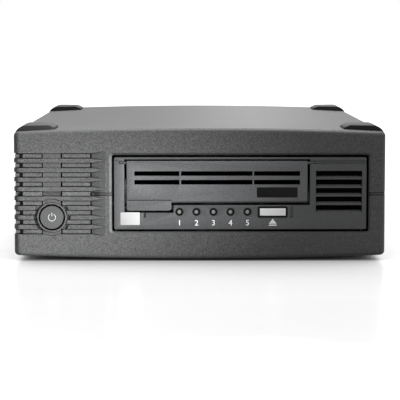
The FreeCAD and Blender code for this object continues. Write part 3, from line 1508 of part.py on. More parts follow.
def make_rear_panel():
    """Metal plate that closes the back, with the openings for fan, inlet and data sockets."""
    panel = Piece("rear_panel")
    half = "side - wall - panel_gap"
    bend = "crown_radius - wall - panel_gap"
    panel.pad("XZ", "panel_front", "panel_thickness",
              crowned(half, "case_bottom + wall + panel_gap", bend, "seam_height", upward=False))
    panel.pad("XZ", "panel_front", "panel_thickness",
              crowned(half, "case_top - wall - panel_gap", bend, "seam_height", upward=True))
    panel.pocket("XZ", "panel_front - 1", "panel_thickness + 2",
                 disc("fan_across", "case_middle", "fan_bore"),
                 rectangle("inlet_across - inlet_width / 2", "inlet_across + inlet_width / 2",
                           "inlet_height_at - inlet_height / 2",
                           "inlet_height_at + inlet_height / 2"),
                 *[disc(*place, "screw_radius + screw_play") for place in fan_bolts()],
                 *[rectangle(f"socket_across + {s} * socket_spacing / 2 - socket_width / 2 - panel_gap",
                             f"socket_across + {s} * socket_spacing / 2 + socket_width / 2 + panel_gap",
                             "socket_low - panel_gap", "socket_low + socket_height + panel_gap")
                   for s in (-1, 1)])
    node(panel)
    guard = Piece("fan_guard")
    wire = "guard_wire"
    face = "panel_face + panel_gap"
    for ring in range(int(VALUES["guard_rings"])):
        radius = f"guard_first + {ring} * guard_pitch"
        guard.pad("XZ", face, wire, disc("fan_across", "case_middle", f"{radius} + {wire}"),
                  disc("fan_across", "case_middle", radius))
    reach = "(fan_hole_spacing / 2)"
    thin = f"({wire} / 2)"
    for z in (1, -1):
        guard.pad("XZ", face, wire, outline(
            (f"fan_across - {reach} - {thin}", f"case_middle - {z} * {reach} + {z} * {thin}"),
            (f"fan_across - {reach} + {thin}", f"case_middle - {z} * {reach} - {z} * {thin}"),
            (f"fan_across + {reach} + {thin}", f"case_middle + {z} * {reach} - {z} * {thin}"),
            (f"fan_across + {reach} - {thin}", f"case_middle + {z} * {reach} + {z} * {thin}")))
    guard.pad("XZ", face, wire, *[disc(*place, "screw_head_radius") for place in fan_bolts()])
    guard.pocket("XZ", f"{face} - 1", f"{wire} + 2",
                 *[disc(*place, "screw_radius + screw_play") for place in fan_bolts()])
    node(guard)
    head = f"{face} + {wire}"
    screws = [
        joined(f"fan_screw_{index}", [
            rod(f"fan_screw_head_{index}", "Y", across, head, up, "screw_head_radius",
                "screw_head_height"),
            rod(f"fan_screw_shank_{index}", "Y", across, f"{head} - fan_screw_length", up,
                "screw_radius - screw_play / 2", "fan_screw_length")])
        for index, (across, up) in enumerate(fan_bolts())
    ]
    node(group("fan_screws", screws))


def make_fan():
    """Square fan frame and its rotor with pitched blades."""
    frame = Piece("fan_frame")
    low, high = "case_middle - fan_size / 2", "case_middle + fan_size / 2"
    left, right = "fan_across - fan_size / 2", "fan_across + fan_size / 2"
    frame.pad("XZ", "fan_front", "fan_depth - lamp_gap", rectangle(left, right, low, high))
    frame.fillet("fan_corner", touches("Y"))
    frame.pocket("XZ", "fan_front - 1", "fan_depth + 2",
                 disc("fan_across", "case_middle", "fan_bore"),
                 *[disc(*place, "screw_radius") for place in fan_bolts()])
    hub = "(fan_hub_radius - fan_hub_wall)"
    frame.pad("XZ", "fan_front", "spider_thickness", disc("fan_across", "case_middle", hub),
              disc("fan_across", "case_middle", "shaft_radius"))
    reach = f"{hub} - 1"
    frame.pad("XZ", "fan_front", "spider_thickness", *[
        rectangle("fan_across - spider_half", "fan_across + spider_half", *limits) for limits in (
            (f"{low} + fan_wall / 2", f"case_middle - ({reach})"),
            (f"case_middle + {reach}", f"{high} - fan_wall / 2"))])
    frame.pad("XZ", "fan_front", "spider_thickness", *[
        rectangle(*limits, "case_middle - spider_half", "case_middle + spider_half") for limits in (
            (f"{left} + fan_wall / 2", f"fan_across - ({reach})"),
            (f"fan_across + {reach}", f"{right} - fan_wall / 2"))])
    node(frame)
    rotor = Piece("fan_rotor")
    depth = "fan_depth - rotor_shortening"
    rotor.pad("XZ", "0", depth, disc("0", "0", "fan_hub_radius"))
    rotor.fillet("fan_hub_wall", touches(y=(depth, depth)))
    rotor.pocket("XZ", "-1", f"{depth} - fan_hub_wall", disc("0", "0", hub))
    rotor.pad("XZ", "run_gap - rotor_inset", f"{depth} + rotor_inset - run_gap - 1",
              disc("0", "0", "shaft_radius - pin_fit"))
    edge = "blade_thickness"
    sections = [
        rotor.sketch("YZ", level, [outline(
            ("1", f"-({half})"), (f"1 + {edge}", f"-({half})"),
            (f"{depth} - 1", half), (f"{depth} - 1 - {edge}", half))])
        for level, half in (("fan_hub_radius - 0.5", "blade_root_half"),
                            ("sqrt((fan_bore - fan_tip_gap)^2 - blade_tip_half^2)", "blade_tip_half"))
    ]
    blade = rotor.add("AdditiveLoft", Profile=sections[0], Sections=[sections[1]])
    blades = rotor.add("PolarPattern", Originals=[blade], Axis=(rotor.origin("Y_Axis"), [""]))
    blades.Angle = 360
    bind(blades, "Occurrences", "blade_count")
    for target, text in (("x", "fan_across"), ("y", "fan_front + rotor_inset"), ("z", "case_middle")):
        bind(rotor.body, f"Placement.Base.{target}", text)
    node(rotor)


def make_sockets():
    """Mains inlet, data sockets and the board that joins the drive to them."""
    inlet = Piece("inlet_body")
    left, right = "inlet_across - inlet_width / 2", "inlet_across + inlet_width / 2"
    low, high = "inlet_height_at - inlet_height / 2", "inlet_height_at + inlet_height / 2"
    inlet.pad("XZ", "panel_face - inlet_depth", "inlet_depth",
              rectangle(f"{left} + panel_gap", f"{right} - panel_gap",
                        f"{low} + panel_gap", f"{high} - panel_gap"))
    inlet.pad("XZ", "panel_face", "inlet_flange",
              rectangle(f"{left} - inlet_lip", f"{right} + inlet_lip",
                        f"{low} - inlet_lip", f"{high} + inlet_lip"))
    inlet.pocket("XZ", "panel_face - inlet_depth + inlet_floor", "inlet_depth + inlet_flange", outline(
        (f"{left} + inlet_wall", f"{low} + inlet_wall"),
        (f"{right} - inlet_wall", f"{low} + inlet_wall"),
        (f"{right} - inlet_wall", f"{high} - inlet_cut"),
        (f"{right} - inlet_cut", f"{high} - inlet_wall"),
        (f"{left} + inlet_cut", f"{high} - inlet_wall"),
        (f"{left} + inlet_wall", f"{high} - inlet_cut")))
    inlet.fillet("inlet_wall", touches("Y", y=("panel_face", "panel_face + inlet_flange")))
    node(inlet)
    pins = [
        block(f"inlet_pin_{name}", f"inlet_across + {x} * inlet_pin_spread - 1",
              f"inlet_across + {x} * inlet_pin_spread + 1",
              "panel_face - inlet_depth + inlet_floor", "panel_face - inlet_pin_recess",
              f"inlet_height_at + {z} * inlet_pin_offset - 2",
              f"inlet_height_at + {z} * inlet_pin_offset + 2")
        for name, x, z in (("line", -1, -1), ("earth", 0, 1), ("neutral", 1, -1))
    ]
    node(group("inlet_pins", pins))
    sockets = []
    for index, shift in enumerate((-1, 1)):
        middle = f"socket_across + {shift} * socket_spacing / 2"
        near, far = "panel_face - socket_depth", "panel_face + socket_proud"
        half, level = "socket_width / 2", "socket_low + socket_height / 2"
        shell = block(f"socket_shell_{index}", f"{middle} - {half}", f"{middle} + {half}",
                      near, far, "socket_low", "socket_low + socket_height")
        hollow = block(f"socket_hollow_{index}", f"{middle} - {half} + socket_wall",
                       f"{middle} + {half} - socket_wall", f"{near} + connector_rise", f"{far} + 1",
                       "socket_low + socket_wall", "socket_low + socket_height - socket_wall")
        tongue = block(f"socket_tongue_{index}", f"{middle} - socket_tongue_half",
                       f"{middle} + socket_tongue_half", f"{near} + connector_rise - 1",
                       f"{far} - socket_tongue_recess", f"{level} - socket_tongue_thickness / 2",
                       f"{level} + socket_tongue_thickness / 2")
        sockets.append(joined(f"data_socket_{index}", [
            less(f"socket_cage_{index}", shell, [hollow]), tongue]))
    node(group("data_sockets", sockets))
    board = Piece("interface_board")
    neck_left = "interface_left + neck_inset"
    neck_right = "interface_left + interface_width - neck_inset_right"
    neck_near, shoulder = "drive_rear - drive_wall - neck_reach", "drive_rear + run_gap"
    board.pad("XY", "interface_height", "board_thickness", outline(
        (neck_left, neck_near), (neck_right, neck_near), (neck_right, shoulder),
        ("interface_left + interface_width", shoulder),
        ("interface_left + interface_width", "panel_front - 1"),
        ("interface_left", "panel_front - 1"), ("interface_left", shoulder),
        (neck_left, shoulder)))
    board.pocket("XY", "interface_height - 1", "board_thickness + 2",
                 *[disc(*place, "screw_radius") for place in INTERFACE_BOSSES])
    board.pad("XY", "socket_low - board_thickness / 2", "board_thickness / 2 + connector_rise",
              rectangle(f"{neck_left} + 1", f"{neck_right} - 2",
                        f"{neck_near} + 1", f"{neck_near} + neck_reach + 3"))
    node(board)


def check_document():
    """Stop if a feature failed, a solid is not valid, or a cut took nothing away."""
    document.recompute()
    for item in document.Objects:
        if "Invalid" in item.State or "Error" in item.State:
            raise RuntimeError(f"{item.Name}: {item.getStatusString()}")
        if item.TypeId == "PartDesign::Pocket":
            if item.Shape.Volume > item.BaseFeature.Shape.Volume - 1e-6:
                raise RuntimeError(f"{item.Name} cuts nothing")
    for item in nodes:
        if item.Shape.isNull() or not item.Shape.isValid():
            raise RuntimeError(f"{item.Label} has no valid shape")


def export():
    """Write one STEP file for each sub-part."""
    os.makedirs("parts", exist_ok=True)
    for item in nodes:
        item.Shape.exportStep(f"parts/{item.Label}.step")
        print(item.Label, len(item.Shape.Solids), round(item.Shape.Volume, 1))


make_lower_shell()
make_upper_shell()
make_feet()
make_vent_baffle()
make_power_button()
make_power_switch()
make_bezel()
make_door()
make_lamps_and_eject()
make_drive_case()
make_brackets()
make_loader()
make_deck()
make_reels()
make_head()
make_supply()
make_rear_panel()
make_fan()
make_sockets()
check_document()
export()
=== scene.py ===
import json
import math

import bmesh
import bpy
from bpy.props import FloatProperty, FloatVectorProperty, PointerProperty
from mathutils import Matrix, Vector

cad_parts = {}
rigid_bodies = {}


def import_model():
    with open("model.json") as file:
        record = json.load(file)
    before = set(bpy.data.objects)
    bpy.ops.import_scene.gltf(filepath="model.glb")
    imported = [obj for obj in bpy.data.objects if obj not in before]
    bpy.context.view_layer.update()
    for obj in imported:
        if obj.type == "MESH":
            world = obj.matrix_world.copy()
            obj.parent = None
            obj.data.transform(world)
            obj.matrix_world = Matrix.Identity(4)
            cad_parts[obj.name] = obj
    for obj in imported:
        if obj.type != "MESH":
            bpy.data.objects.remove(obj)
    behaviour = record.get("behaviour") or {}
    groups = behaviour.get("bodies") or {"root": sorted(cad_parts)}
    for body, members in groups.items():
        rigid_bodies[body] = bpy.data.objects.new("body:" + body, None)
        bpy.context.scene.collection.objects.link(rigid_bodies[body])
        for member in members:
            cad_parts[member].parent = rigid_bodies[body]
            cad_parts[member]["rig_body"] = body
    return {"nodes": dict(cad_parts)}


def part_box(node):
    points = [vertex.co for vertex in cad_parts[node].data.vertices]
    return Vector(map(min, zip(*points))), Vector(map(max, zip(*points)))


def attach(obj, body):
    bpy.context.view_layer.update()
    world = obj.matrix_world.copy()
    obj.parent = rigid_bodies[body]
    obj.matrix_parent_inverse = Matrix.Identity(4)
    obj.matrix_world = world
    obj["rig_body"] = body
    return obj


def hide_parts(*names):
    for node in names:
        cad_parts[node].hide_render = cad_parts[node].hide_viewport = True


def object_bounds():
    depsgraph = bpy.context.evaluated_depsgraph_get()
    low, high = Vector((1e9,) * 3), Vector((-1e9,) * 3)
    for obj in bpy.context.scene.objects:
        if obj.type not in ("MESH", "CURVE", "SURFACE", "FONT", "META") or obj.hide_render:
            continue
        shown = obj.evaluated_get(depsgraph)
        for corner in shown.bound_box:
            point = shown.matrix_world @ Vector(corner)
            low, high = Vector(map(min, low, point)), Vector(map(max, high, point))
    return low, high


bl_info = {
    "name": "External tape drive",
    "version": (1, 0, 0),
    "blender": (4, 5, 0),
    "location": "View3D > Sidebar > Tape Drive",
    "description": "Dresses the packed model of a desktop tape drive and sets its stage",
    "category": "Object",
}

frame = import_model()
NODES = frame["nodes"]
CAD_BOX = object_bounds()
MM = 0.001

# Axes of the scene, used wherever a shape is turned or extruded along one of them.
AXES = {"X": Vector((1, 0, 0)), "Y": Vector((0, 1, 0)), "Z": Vector((0, 0, 1))}

# The sizes below are in millimetres and the angles in degrees.
# The two fine grooves on either side of the seam strip: where each starts and how high it is, how far
# in from the wall its painted shadow line, a thin black sheet, lies and how thick that line is.
SEAM_LEVELS = (38.78, 40.03)
SEAM_GAP = 0.39
SEAM_INSET = 0.3
SEAM_THICKNESS = 0.2
# The case's rounded upright corner, and where the slots that run round the left one end.
CASE_CORNER = 3.6
SLOTTED_CORNER = 12.0
# How far the seam stays clear of the air slots and of the bezel's left and right edges.
SEAM_FROM_SLOTS = 2.3
SEAM_FROM_BEZEL = (1.4, 1.5)

# The black screen behind the side vents, which paints the shade inside them: its sides from the
# bezel's right edge, its front and back from the bezel's face, and its ends from the bezel's lower
# and upper edges.
SCREEN_SIDES = (31.3, 2.4)
SCREEN_DEPTHS = (6.4, 7.0)
SCREEN_ENDS = (8.7, 2.1)

# Levels above the bezel's lower edge: the printed numbers, and the bar and the arrow of the eject
# mark, which is twice MARK_HALF wide.  Depths are behind the bezel's face, so print stands proud.
NUMBER_LEVEL = 2.2
NUMBER_DEPTH = -0.03
MARK_DEPTHS = (-0.06, 0.05)
MARK_BAR = (2.0, 2.7)
MARK_ARROW = (3.2, 6.2)
MARK_HALF = 2.3

# The ring round a lamp, as (radius, depth behind the bezel's face) pairs.
LAMP_COUNT = 5
RING_PROFILE = ((1.15, 0.1), (1.3, -0.15), (2.25, -0.12), (2.4, 0.1))

# The black frame in the gap round the eject button, a painted shadow, measured from the button's
# outline and the bezel's face.
SURROUND_INSET = 0.2
SURROUND_BORDER = 0.95
SURROUND_CORNER = 0.9
SURROUND_DEPTHS = (-0.25, 0.3)

# The power button's rounded rim, and its mark: an open ring with a bar in the gap.
CAP_ROUND = 0.12
POWER_RING = (1.8, 2.4)
POWER_RING_SWEEP = 300.0
POWER_RING_TURN = -60.0
POWER_BAR_HALF = 0.3
POWER_BAR = (0.7, 2.9)
POWER_MARK_DEPTHS = (0.02, 0.3)

# How much lighter than the rubber the tops of the feet are painted: a painted sheen of light from
# above.
TOP_SHEEN_LIFT = 9

FEET = [
    f"foot_{level}_{end}_{side}"
    for level in ("bottom", "top") for end in ("front", "back") for side in ("left", "right")
]
ROLLERS = [f"guide_roller_{index}" for index in range(1, 5)]


def colour(name, description, default):
    return FloatVectorProperty(name=name, description=description, subtype="COLOR", size=3,
                               min=0.0, max=1.0, default=default)


def length(name, description, default):
    return FloatProperty(name=name, description=description, default=default * MM, min=0.0,
                         unit="LENGTH", subtype="DISTANCE", precision=5)


class TapeDriveCaseSettings(bpy.types.PropertyGroup):
    """Colours and finish of the moulded case."""

    case_colour: colour("Case", "Colour of both shells", (0.070, 0.0705, 0.0715))
    feet_colour: colour("Feet", "Colour of the rubber feet", (0.006, 0.006, 0.0062))
    grille_colour: colour("Grille", "Colour of the bars in the air slots", (0.088, 0.0885, 0.0895))
    button_colour: colour("Button", "Colour of the power button", (0.07, 0.0705, 0.0715))
    mark_colour: colour("Mark", "Colour of the printed power mark", (0.3, 0.3, 0.3))
    grain_size: length("Grain", "Size of the moulded grain", 0.36)
    grain_depth: FloatProperty(name="Grain depth", description="Strength of the moulded grain",
                               default=0.3, min=0.0, max=1.0)
    edge_radius: length("Edge", "Radius to which sharp edges are rounded off", 0.25)
    painted_shade_reach: length("Painted shade", "Distance over which gaps and corners darken", 2.0)


class TapeDriveFrontSettings(bpy.types.PropertyGroup):
    """Colours and details of the drive's front."""

    bezel_colour: colour("Bezel", "Colour of the front panel", (0.084, 0.0855, 0.088))
    door_colour: colour("Door", "Colour of the cartridge door", (0.108, 0.110, 0.113))
    eject_colour: colour("Eject button", "Colour of the eject button", (0.82, 0.82, 0.82))
    plate_colour: colour("Plate", "Colour of the blank plates", (0.42, 0.42, 0.42))
    print_colour: colour("Print", "Colour of the printed numbers and marks", (0.85, 0.85, 0.85))
    lens_colour: colour("Lens", "Colour of the unlit lamps", (0.2, 0.21, 0.2))
    number_height: length("Number height", "Height of the numbers under the lamps", 3.3)


class TapeDriveInsideSettings(bpy.types.PropertyGroup):
    """Colours of the parts behind the front and the back."""

    steel_colour: colour("Steel", "Colour of the plated sheet", (0.55, 0.56, 0.57))
    board_colour: colour("Board", "Colour of the circuit boards", (0.012, 0.075, 0.03))
    panel_colour: colour("Rear panel", "Colour of the rear panel", (0.10, 0.10, 0.105))


class TapeDriveStageSettings(bpy.types.PropertyGroup):
    """Camera, lamps and floor."""

    camera_distance: FloatProperty(name="Distance", description="From the camera to the front",
                                   default=1.04, min=0.1, unit="LENGTH")
    camera_height: FloatProperty(name="Height", description="Height of the camera above the floor",
                                 default=0.135, min=0.0, unit="LENGTH")
    camera_side: FloatProperty(name="Side", description="How far right of the middle it stands",
                               default=-0.008, unit="LENGTH")
    camera_tilt: FloatProperty(name="Tilt", description="How far the camera looks down",
                               default=math.radians(5.43), subtype="ANGLE")
    camera_turn: FloatProperty(name="Turn", description="How far the camera looks to the right",
                               default=math.radians(0.449), subtype="ANGLE")
    focal_length: FloatProperty(name="Focal length", description="In millimetres on a 36 mm frame",
                                default=160.4, min=10.0)
    key_power: FloatProperty(name="Key", description="Power of the spot lamp at the front",
                             default=330.0, min=0.0)
    key_angle: FloatProperty(name="Key cone", description="Width of the soft cone of the spot lamp",
                             default=math.radians(7.2), subtype="ANGLE")
    top_power: FloatProperty(name="Top", description="Power of the spot lamp at the back",
                             default=2.6, min=0.0)
    above_power: FloatProperty(name="Above", description="Power of the soft box above",
                               default=7.5, min=0.0)
    top_angle: FloatProperty(name="Top cone", description="Width of the cone of the back lamp",
                             default=math.radians(17.0), subtype="ANGLE")
    fill_level: FloatProperty(name="Fill", description="Level of the even light from all round",
                              default=0.58, min=0.0)
    floor_glow: FloatProperty(name="Floor glow", description="Lightness that the floor adds",
                              default=0.79, min=0.0)
    floor_colour: colour("Floor", "Colour of the floor", (0.15, 0.15, 0.15))


# Materials.  Shared effects are shader node groups that put out colours and normals only.

class Nodes:
    """A node tree with short ways to add a node and to join sockets."""

    def __init__(self, tree):
        self.tree = tree

    def add(self, kind, **values):
        node = self.tree.nodes.new(kind)
        for name, value in values.items():
            if name in node.bl_rna.properties:
                setattr(node, name, value)
            else:
                node.inputs[name].default_value = value
        return node

    def join(self, source, target):
        self.tree.links.new(source, target)


def new_group(name, inputs, outputs):
    """An empty shader node group with named sockets."""
    tree = bpy.data.node_groups.new(name, "ShaderNodeTree")
    for label, kind, default in inputs:
        socket = tree.interface.new_socket(label, in_out="INPUT", socket_type=kind)
        socket.default_value = default
    for label, kind in outputs:
        tree.interface.new_socket(label, in_out="OUTPUT", socket_type=kind)
    return tree, Nodes(tree), tree.nodes.new("NodeGroupInput"), tree.nodes.new("NodeGroupOutput")


def grain_group():
    """Fine moulded grain: light and dark speckle, a little gloss variation, a bump and a painted
    highlight on sharp edges.
    """
    if "Moulded grain" in bpy.data.node_groups:
        return bpy.data.node_groups["Moulded grain"]
    tree, make, given, out = new_group(
        "Moulded grain",
        (("Color", "NodeSocketColor", (0.1, 0.1, 0.1, 1)), ("Size", "NodeSocketFloat", 0.001),
         ("Speckle", "NodeSocketFloat", 0.3), ("Depth", "NodeSocketFloat", 0.2),
         ("Roughness", "NodeSocketFloat", 0.5), ("Edge", "NodeSocketFloat", 0.0003),
         ("Edge highlight", "NodeSocketFloat", 1.0)),
        (("Color", "NodeSocketColor"), ("Roughness", "NodeSocketFloat"),
         ("Normal", "NodeSocketVector")))
    place = make.add("ShaderNodeTexCoord")
    per = make.add("ShaderNodeMath", operation="DIVIDE")
    per.inputs[0].default_value = 1.0
    make.join(given.outputs["Size"], per.inputs[1])
    speckle = make.add("ShaderNodeTexNoise", Detail=2.0, Roughness=0.6)
    make.join(place.outputs["Object"], speckle.inputs["Vector"])
    make.join(per.outputs[0], speckle.inputs["Scale"])
    level = make.add("ShaderNodeMapRange")
    for name, value in (("From Min", 0.3), ("From Max", 0.7), ("To Min", -1.0), ("To Max", 1.0)):
        level.inputs[name].default_value = value
    make.join(speckle.outputs["Fac"], level.inputs["Value"])
    broad = make.add("ShaderNodeTexNoise", Scale=14.0, Detail=2.0)
    make.join(place.outputs["Object"], broad.inputs["Vector"])
    sway = make.add("ShaderNodeMath", operation="MULTIPLY_ADD")
    make.join(broad.outputs["Fac"], sway.inputs[0])
    sway.inputs[1].default_value = 0.12
    sway.inputs[2].default_value = 0.94
    amount = make.add("ShaderNodeMath", operation="MULTIPLY_ADD")
    make.join(level.outputs[0], amount.inputs[0])
    make.join(given.outputs["Speckle"], amount.inputs[1])
    make.join(sway.outputs[0], amount.inputs[2])
    rounded = make.add("ShaderNodeBevel", samples=4)
    make.join(given.outputs["Edge"], rounded.inputs["Radius"])
    facing = make.add("ShaderNodeNewGeometry")
    along = make.add("ShaderNodeVectorMath", operation="DOT_PRODUCT")
    make.join(rounded.outputs[0], along.inputs[0])
    make.join(facing.outputs["Normal"], along.inputs[1])
    edge = make.add("ShaderNodeMapRange")
    for name, value in (("From Min", 1.0), ("From Max", 0.75), ("To Min", 0.0), ("To Max", 1.0)):
        edge.inputs[name].default_value = value
    make.join(along.outputs["Value"], edge.inputs["Value"])
    # Colour made lighter where the rounded normal turns away at sharp edges: a painted highlight.
    highlighted = make.add("ShaderNodeMath", operation="MULTIPLY_ADD")
    make.join(edge.outputs[0], highlighted.inputs[0])
    make.join(given.outputs["Edge highlight"], highlighted.inputs[1])
    make.join(amount.outputs[0], highlighted.inputs[2])
    tint = make.add("ShaderNodeVectorMath", operation="SCALE")
    make.join(given.outputs["Color"], tint.inputs[0])
    make.join(highlighted.outputs[0], tint.inputs["Scale"])
    make.join(tint.outputs[0], out.inputs["Color"])
    gloss = make.add("ShaderNodeMath", operation="MULTIPLY_ADD")
    make.join(level.outputs[0], gloss.inputs[0])
    gloss.inputs[1].default_value = 0.06
    make.join(given.outputs["Roughness"], gloss.inputs[2])
    make.join(gloss.outputs[0], out.inputs["Roughness"])
    fine = make.add("ShaderNodeMath", operation="MULTIPLY")
    make.join(per.outputs[0], fine.inputs[0])
    fine.inputs[1].default_value = 1.7
    pits = make.add("ShaderNodeTexNoise", Detail=1.0)
    make.join(place.outputs["Object"], pits.inputs["Vector"])
    make.join(fine.outputs[0], pits.inputs["Scale"])
    bump = make.add("ShaderNodeBump", Distance=0.0001)
    make.join(given.outputs["Depth"], bump.inputs["Strength"])
    make.join(pits.outputs["Fac"], bump.inputs["Height"])
    make.join(rounded.outputs[0], bump.inputs["Normal"])
    make.join(bump.outputs[0], out.inputs["Normal"])
    return tree


def brushed_group():
    """Rolled metal: faint streaks along one axis, in tone, gloss and bump."""
    if "Brushed streaks" in bpy.data.node_groups:
        return bpy.data.node_groups["Brushed streaks"]
    tree, make, given, out = new_group(
        "Brushed streaks",
        (("Color", "NodeSocketColor", (0.5, 0.5, 0.5, 1)), ("Scale", "NodeSocketFloat", 300.0),
         ("Stretch", "NodeSocketVector", (1.0, 0.03, 1.0)), ("Amount", "NodeSocketFloat", 0.2),
         ("Roughness", "NodeSocketFloat", 0.35)),
        (("Color", "NodeSocketColor"), ("Roughness", "NodeSocketFloat"),
         ("Normal", "NodeSocketVector")))
    place = make.add("ShaderNodeTexCoord")
    stretch = make.add("ShaderNodeVectorMath", operation="MULTIPLY")
    make.join(place.outputs["Object"], stretch.inputs[0])
    make.join(given.outputs["Stretch"], stretch.inputs[1])
    streaks = make.add("ShaderNodeTexNoise", Detail=3.0)
    make.join(stretch.outputs[0], streaks.inputs["Vector"])
    make.join(given.outputs["Scale"], streaks.inputs["Scale"])
    level = make.add("ShaderNodeMapRange")
    for name, value in (("From Min", 0.3), ("From Max", 0.7), ("To Min", -0.5), ("To Max", 0.5)):
        level.inputs[name].default_value = value
    make.join(streaks.outputs["Fac"], level.inputs["Value"])
    amount = make.add("ShaderNodeMath", operation="MULTIPLY_ADD")
    make.join(level.outputs[0], amount.inputs[0])
    make.join(given.outputs["Amount"], amount.inputs[1])
    amount.inputs[2].default_value = 1.0
    tint = make.add("ShaderNodeVectorMath", operation="SCALE")
    make.join(given.outputs["Color"], tint.inputs[0])
    make.join(amount.outputs[0], tint.inputs["Scale"])
    make.join(tint.outputs[0], out.inputs["Color"])
    gloss = make.add("ShaderNodeMath", operation="MULTIPLY_ADD")
    make.join(level.outputs[0], gloss.inputs[0])
    make.join(given.outputs["Amount"], gloss.inputs[1])
    make.join(given.outputs["Roughness"], gloss.inputs[2])
    make.join(gloss.outputs[0], out.inputs["Roughness"])
    bump = make.add("ShaderNodeBump", Strength=0.15, Distance=0.0001)
    make.join(streaks.outputs["Fac"], bump.inputs["Height"])
    make.join(bump.outputs[0], out.inputs["Normal"])
    return tree


def surface(name, specular=0.5, metallic=0.0):
    """A new material with a Principled surface."""
    material = bpy.data.materials.new(name)
    material.use_nodes = True
    make = Nodes(material.node_tree)
    make.tree.nodes.clear()
    shader = make.add("ShaderNodeBsdfPrincipled")
    shader.inputs["Specular IOR Level"].default_value = specular
    shader.inputs["Metallic"].default_value = metallic
    out = make.add("ShaderNodeOutputMaterial")
    make.join(shader.outputs[0], out.inputs["Surface"])
    return material, make, shader


def moulded(name, tone, roughness=0.5, speckle=0.9, depth=None, specular=0.3, edge_highlight=0.6):
    """Moulded plastic or rubber with a fine grain, painted shade in creases and gaps and a painted
    highlight on edges.
    """
    settings = bpy.context.scene.tape_drive_case
    material, make, shader = surface(name, specular)
    grain = make.add("ShaderNodeGroup", node_tree=grain_group())
    # Ambient occlusion darkens the colour in gaps, creases and corners: painted shade.
    near = make.add("ShaderNodeAmbientOcclusion", samples=8, Distance=settings.painted_shade_reach)
    painted_crease_shade = make.add("ShaderNodeMapRange")
    for label, value in (("From Min", 0.45), ("From Max", 0.95), ("To Min", 0.02), ("To Max", 1.0)):
        painted_crease_shade.inputs[label].default_value = value
    make.join(near.outputs["AO"], painted_crease_shade.inputs["Value"])
    tint = make.add("ShaderNodeVectorMath", operation="SCALE")
    tint.inputs[0].default_value = tone
    make.join(painted_crease_shade.outputs[0], tint.inputs["Scale"])
    make.join(tint.outputs[0], grain.inputs["Color"])
    grain.inputs["Size"].default_value = settings.grain_size
    grain.inputs["Speckle"].default_value = speckle
    grain.inputs["Depth"].default_value = settings.grain_depth if depth is None else depth
    grain.inputs["Roughness"].default_value = roughness
    grain.inputs["Edge"].default_value = settings.edge_radius
    grain.inputs["Edge highlight"].default_value = edge_highlight
    make.join(grain.outputs["Color"], shader.inputs["Base Color"])
    make.join(grain.outputs["Roughness"], shader.inputs["Roughness"])
    make.join(grain.outputs["Normal"], shader.inputs["Normal"])
    return material


def painted_top_sheen(material, tone):
    """Lighten the faces of a material that look up: a painted sheen, as of light falling from above.
    """
    make = Nodes(material.node_tree)
    shader = next(node for node in make.tree.nodes if node.type == "BSDF_PRINCIPLED")
    source = shader.inputs["Base Color"].links[0].from_socket
    facing = make.add("ShaderNodeNewGeometry")
    split = make.add("ShaderNodeSeparateXYZ")
    make.join(facing.outputs["Normal"], split.inputs[0])
    upward = make.add("ShaderNodeMapRange", interpolation_type="SMOOTHSTEP")
    for label, value in (("From Min", 0.75), ("From Max", 0.97), ("To Min", 0.0), ("To Max", 1.0)):
        upward.inputs[label].default_value = value
    make.join(split.outputs["Z"], upward.inputs["Value"])
    mix = make.add("ShaderNodeMix", data_type="RGBA")
    make.join(upward.outputs[0], mix.inputs[0])
    make.join(source, mix.inputs[6])
    mix.inputs[7].default_value = (*tone, 1)
    make.join(mix.outputs[2], shader.inputs["Base Color"])
    return material


def metal(name, tone, roughness=0.35, amount=0.25, stretch=(1.0, 0.03, 1.0), scale=900.0):
    """Bare or plated metal with rolling streaks."""
    material, make, shader = surface(name, metallic=1.0)
    streaks = make.add("ShaderNodeGroup", node_tree=brushed_group())
    streaks.inputs["Color"].default_value = (*tone, 1)
    streaks.inputs["Scale"].default_value = scale
    streaks.inputs["Stretch"].default_value = stretch
    streaks.inputs["Amount"].default_value = amount
    streaks.inputs["Roughness"].default_value = roughness
    make.join(streaks.outputs["Color"], shader.inputs["Base Color"])
    make.join(streaks.outputs["Roughness"], shader.inputs["Roughness"])
    make.join(streaks.outputs["Normal"], shader.inputs["Normal"])
    return material


def board_material(name, tone):
    """Circuit board: copper tracks under green lacquer."""
    material, make, shader = surface(name)
    place = make.add("ShaderNodeTexCoord")
    tracks = make.add("ShaderNodeTexBrick", offset=0.37, Scale=160.0)
    for label, value in (("Mortar Size", 0.14), ("Brick Width", 1.9), ("Row Height", 0.35)):
        tracks.inputs[label].default_value = value
    lighter = [min(1.0, part * 1.9) for part in tone]
    tracks.inputs["Color1"].default_value = (*tone, 1)
    tracks.inputs["Color2"].default_value = (*[part * 0.8 for part in tone], 1)
    tracks.inputs["Mortar"].default_value = (*lighter, 1)
    make.join(place.outputs["Object"], tracks.inputs["Vector"])
    make.join(tracks.outputs["Color"], shader.inputs["Base Color"])
    bump = make.add("ShaderNodeBump", Strength=0.2, Distance=0.0001)
    make.join(tracks.outputs["Fac"], bump.inputs["Height"])
    make.join(bump.outputs[0], shader.inputs["Normal"])
    shader.inputs["Roughness"].default_value = 0.3
    return material


materials = {}


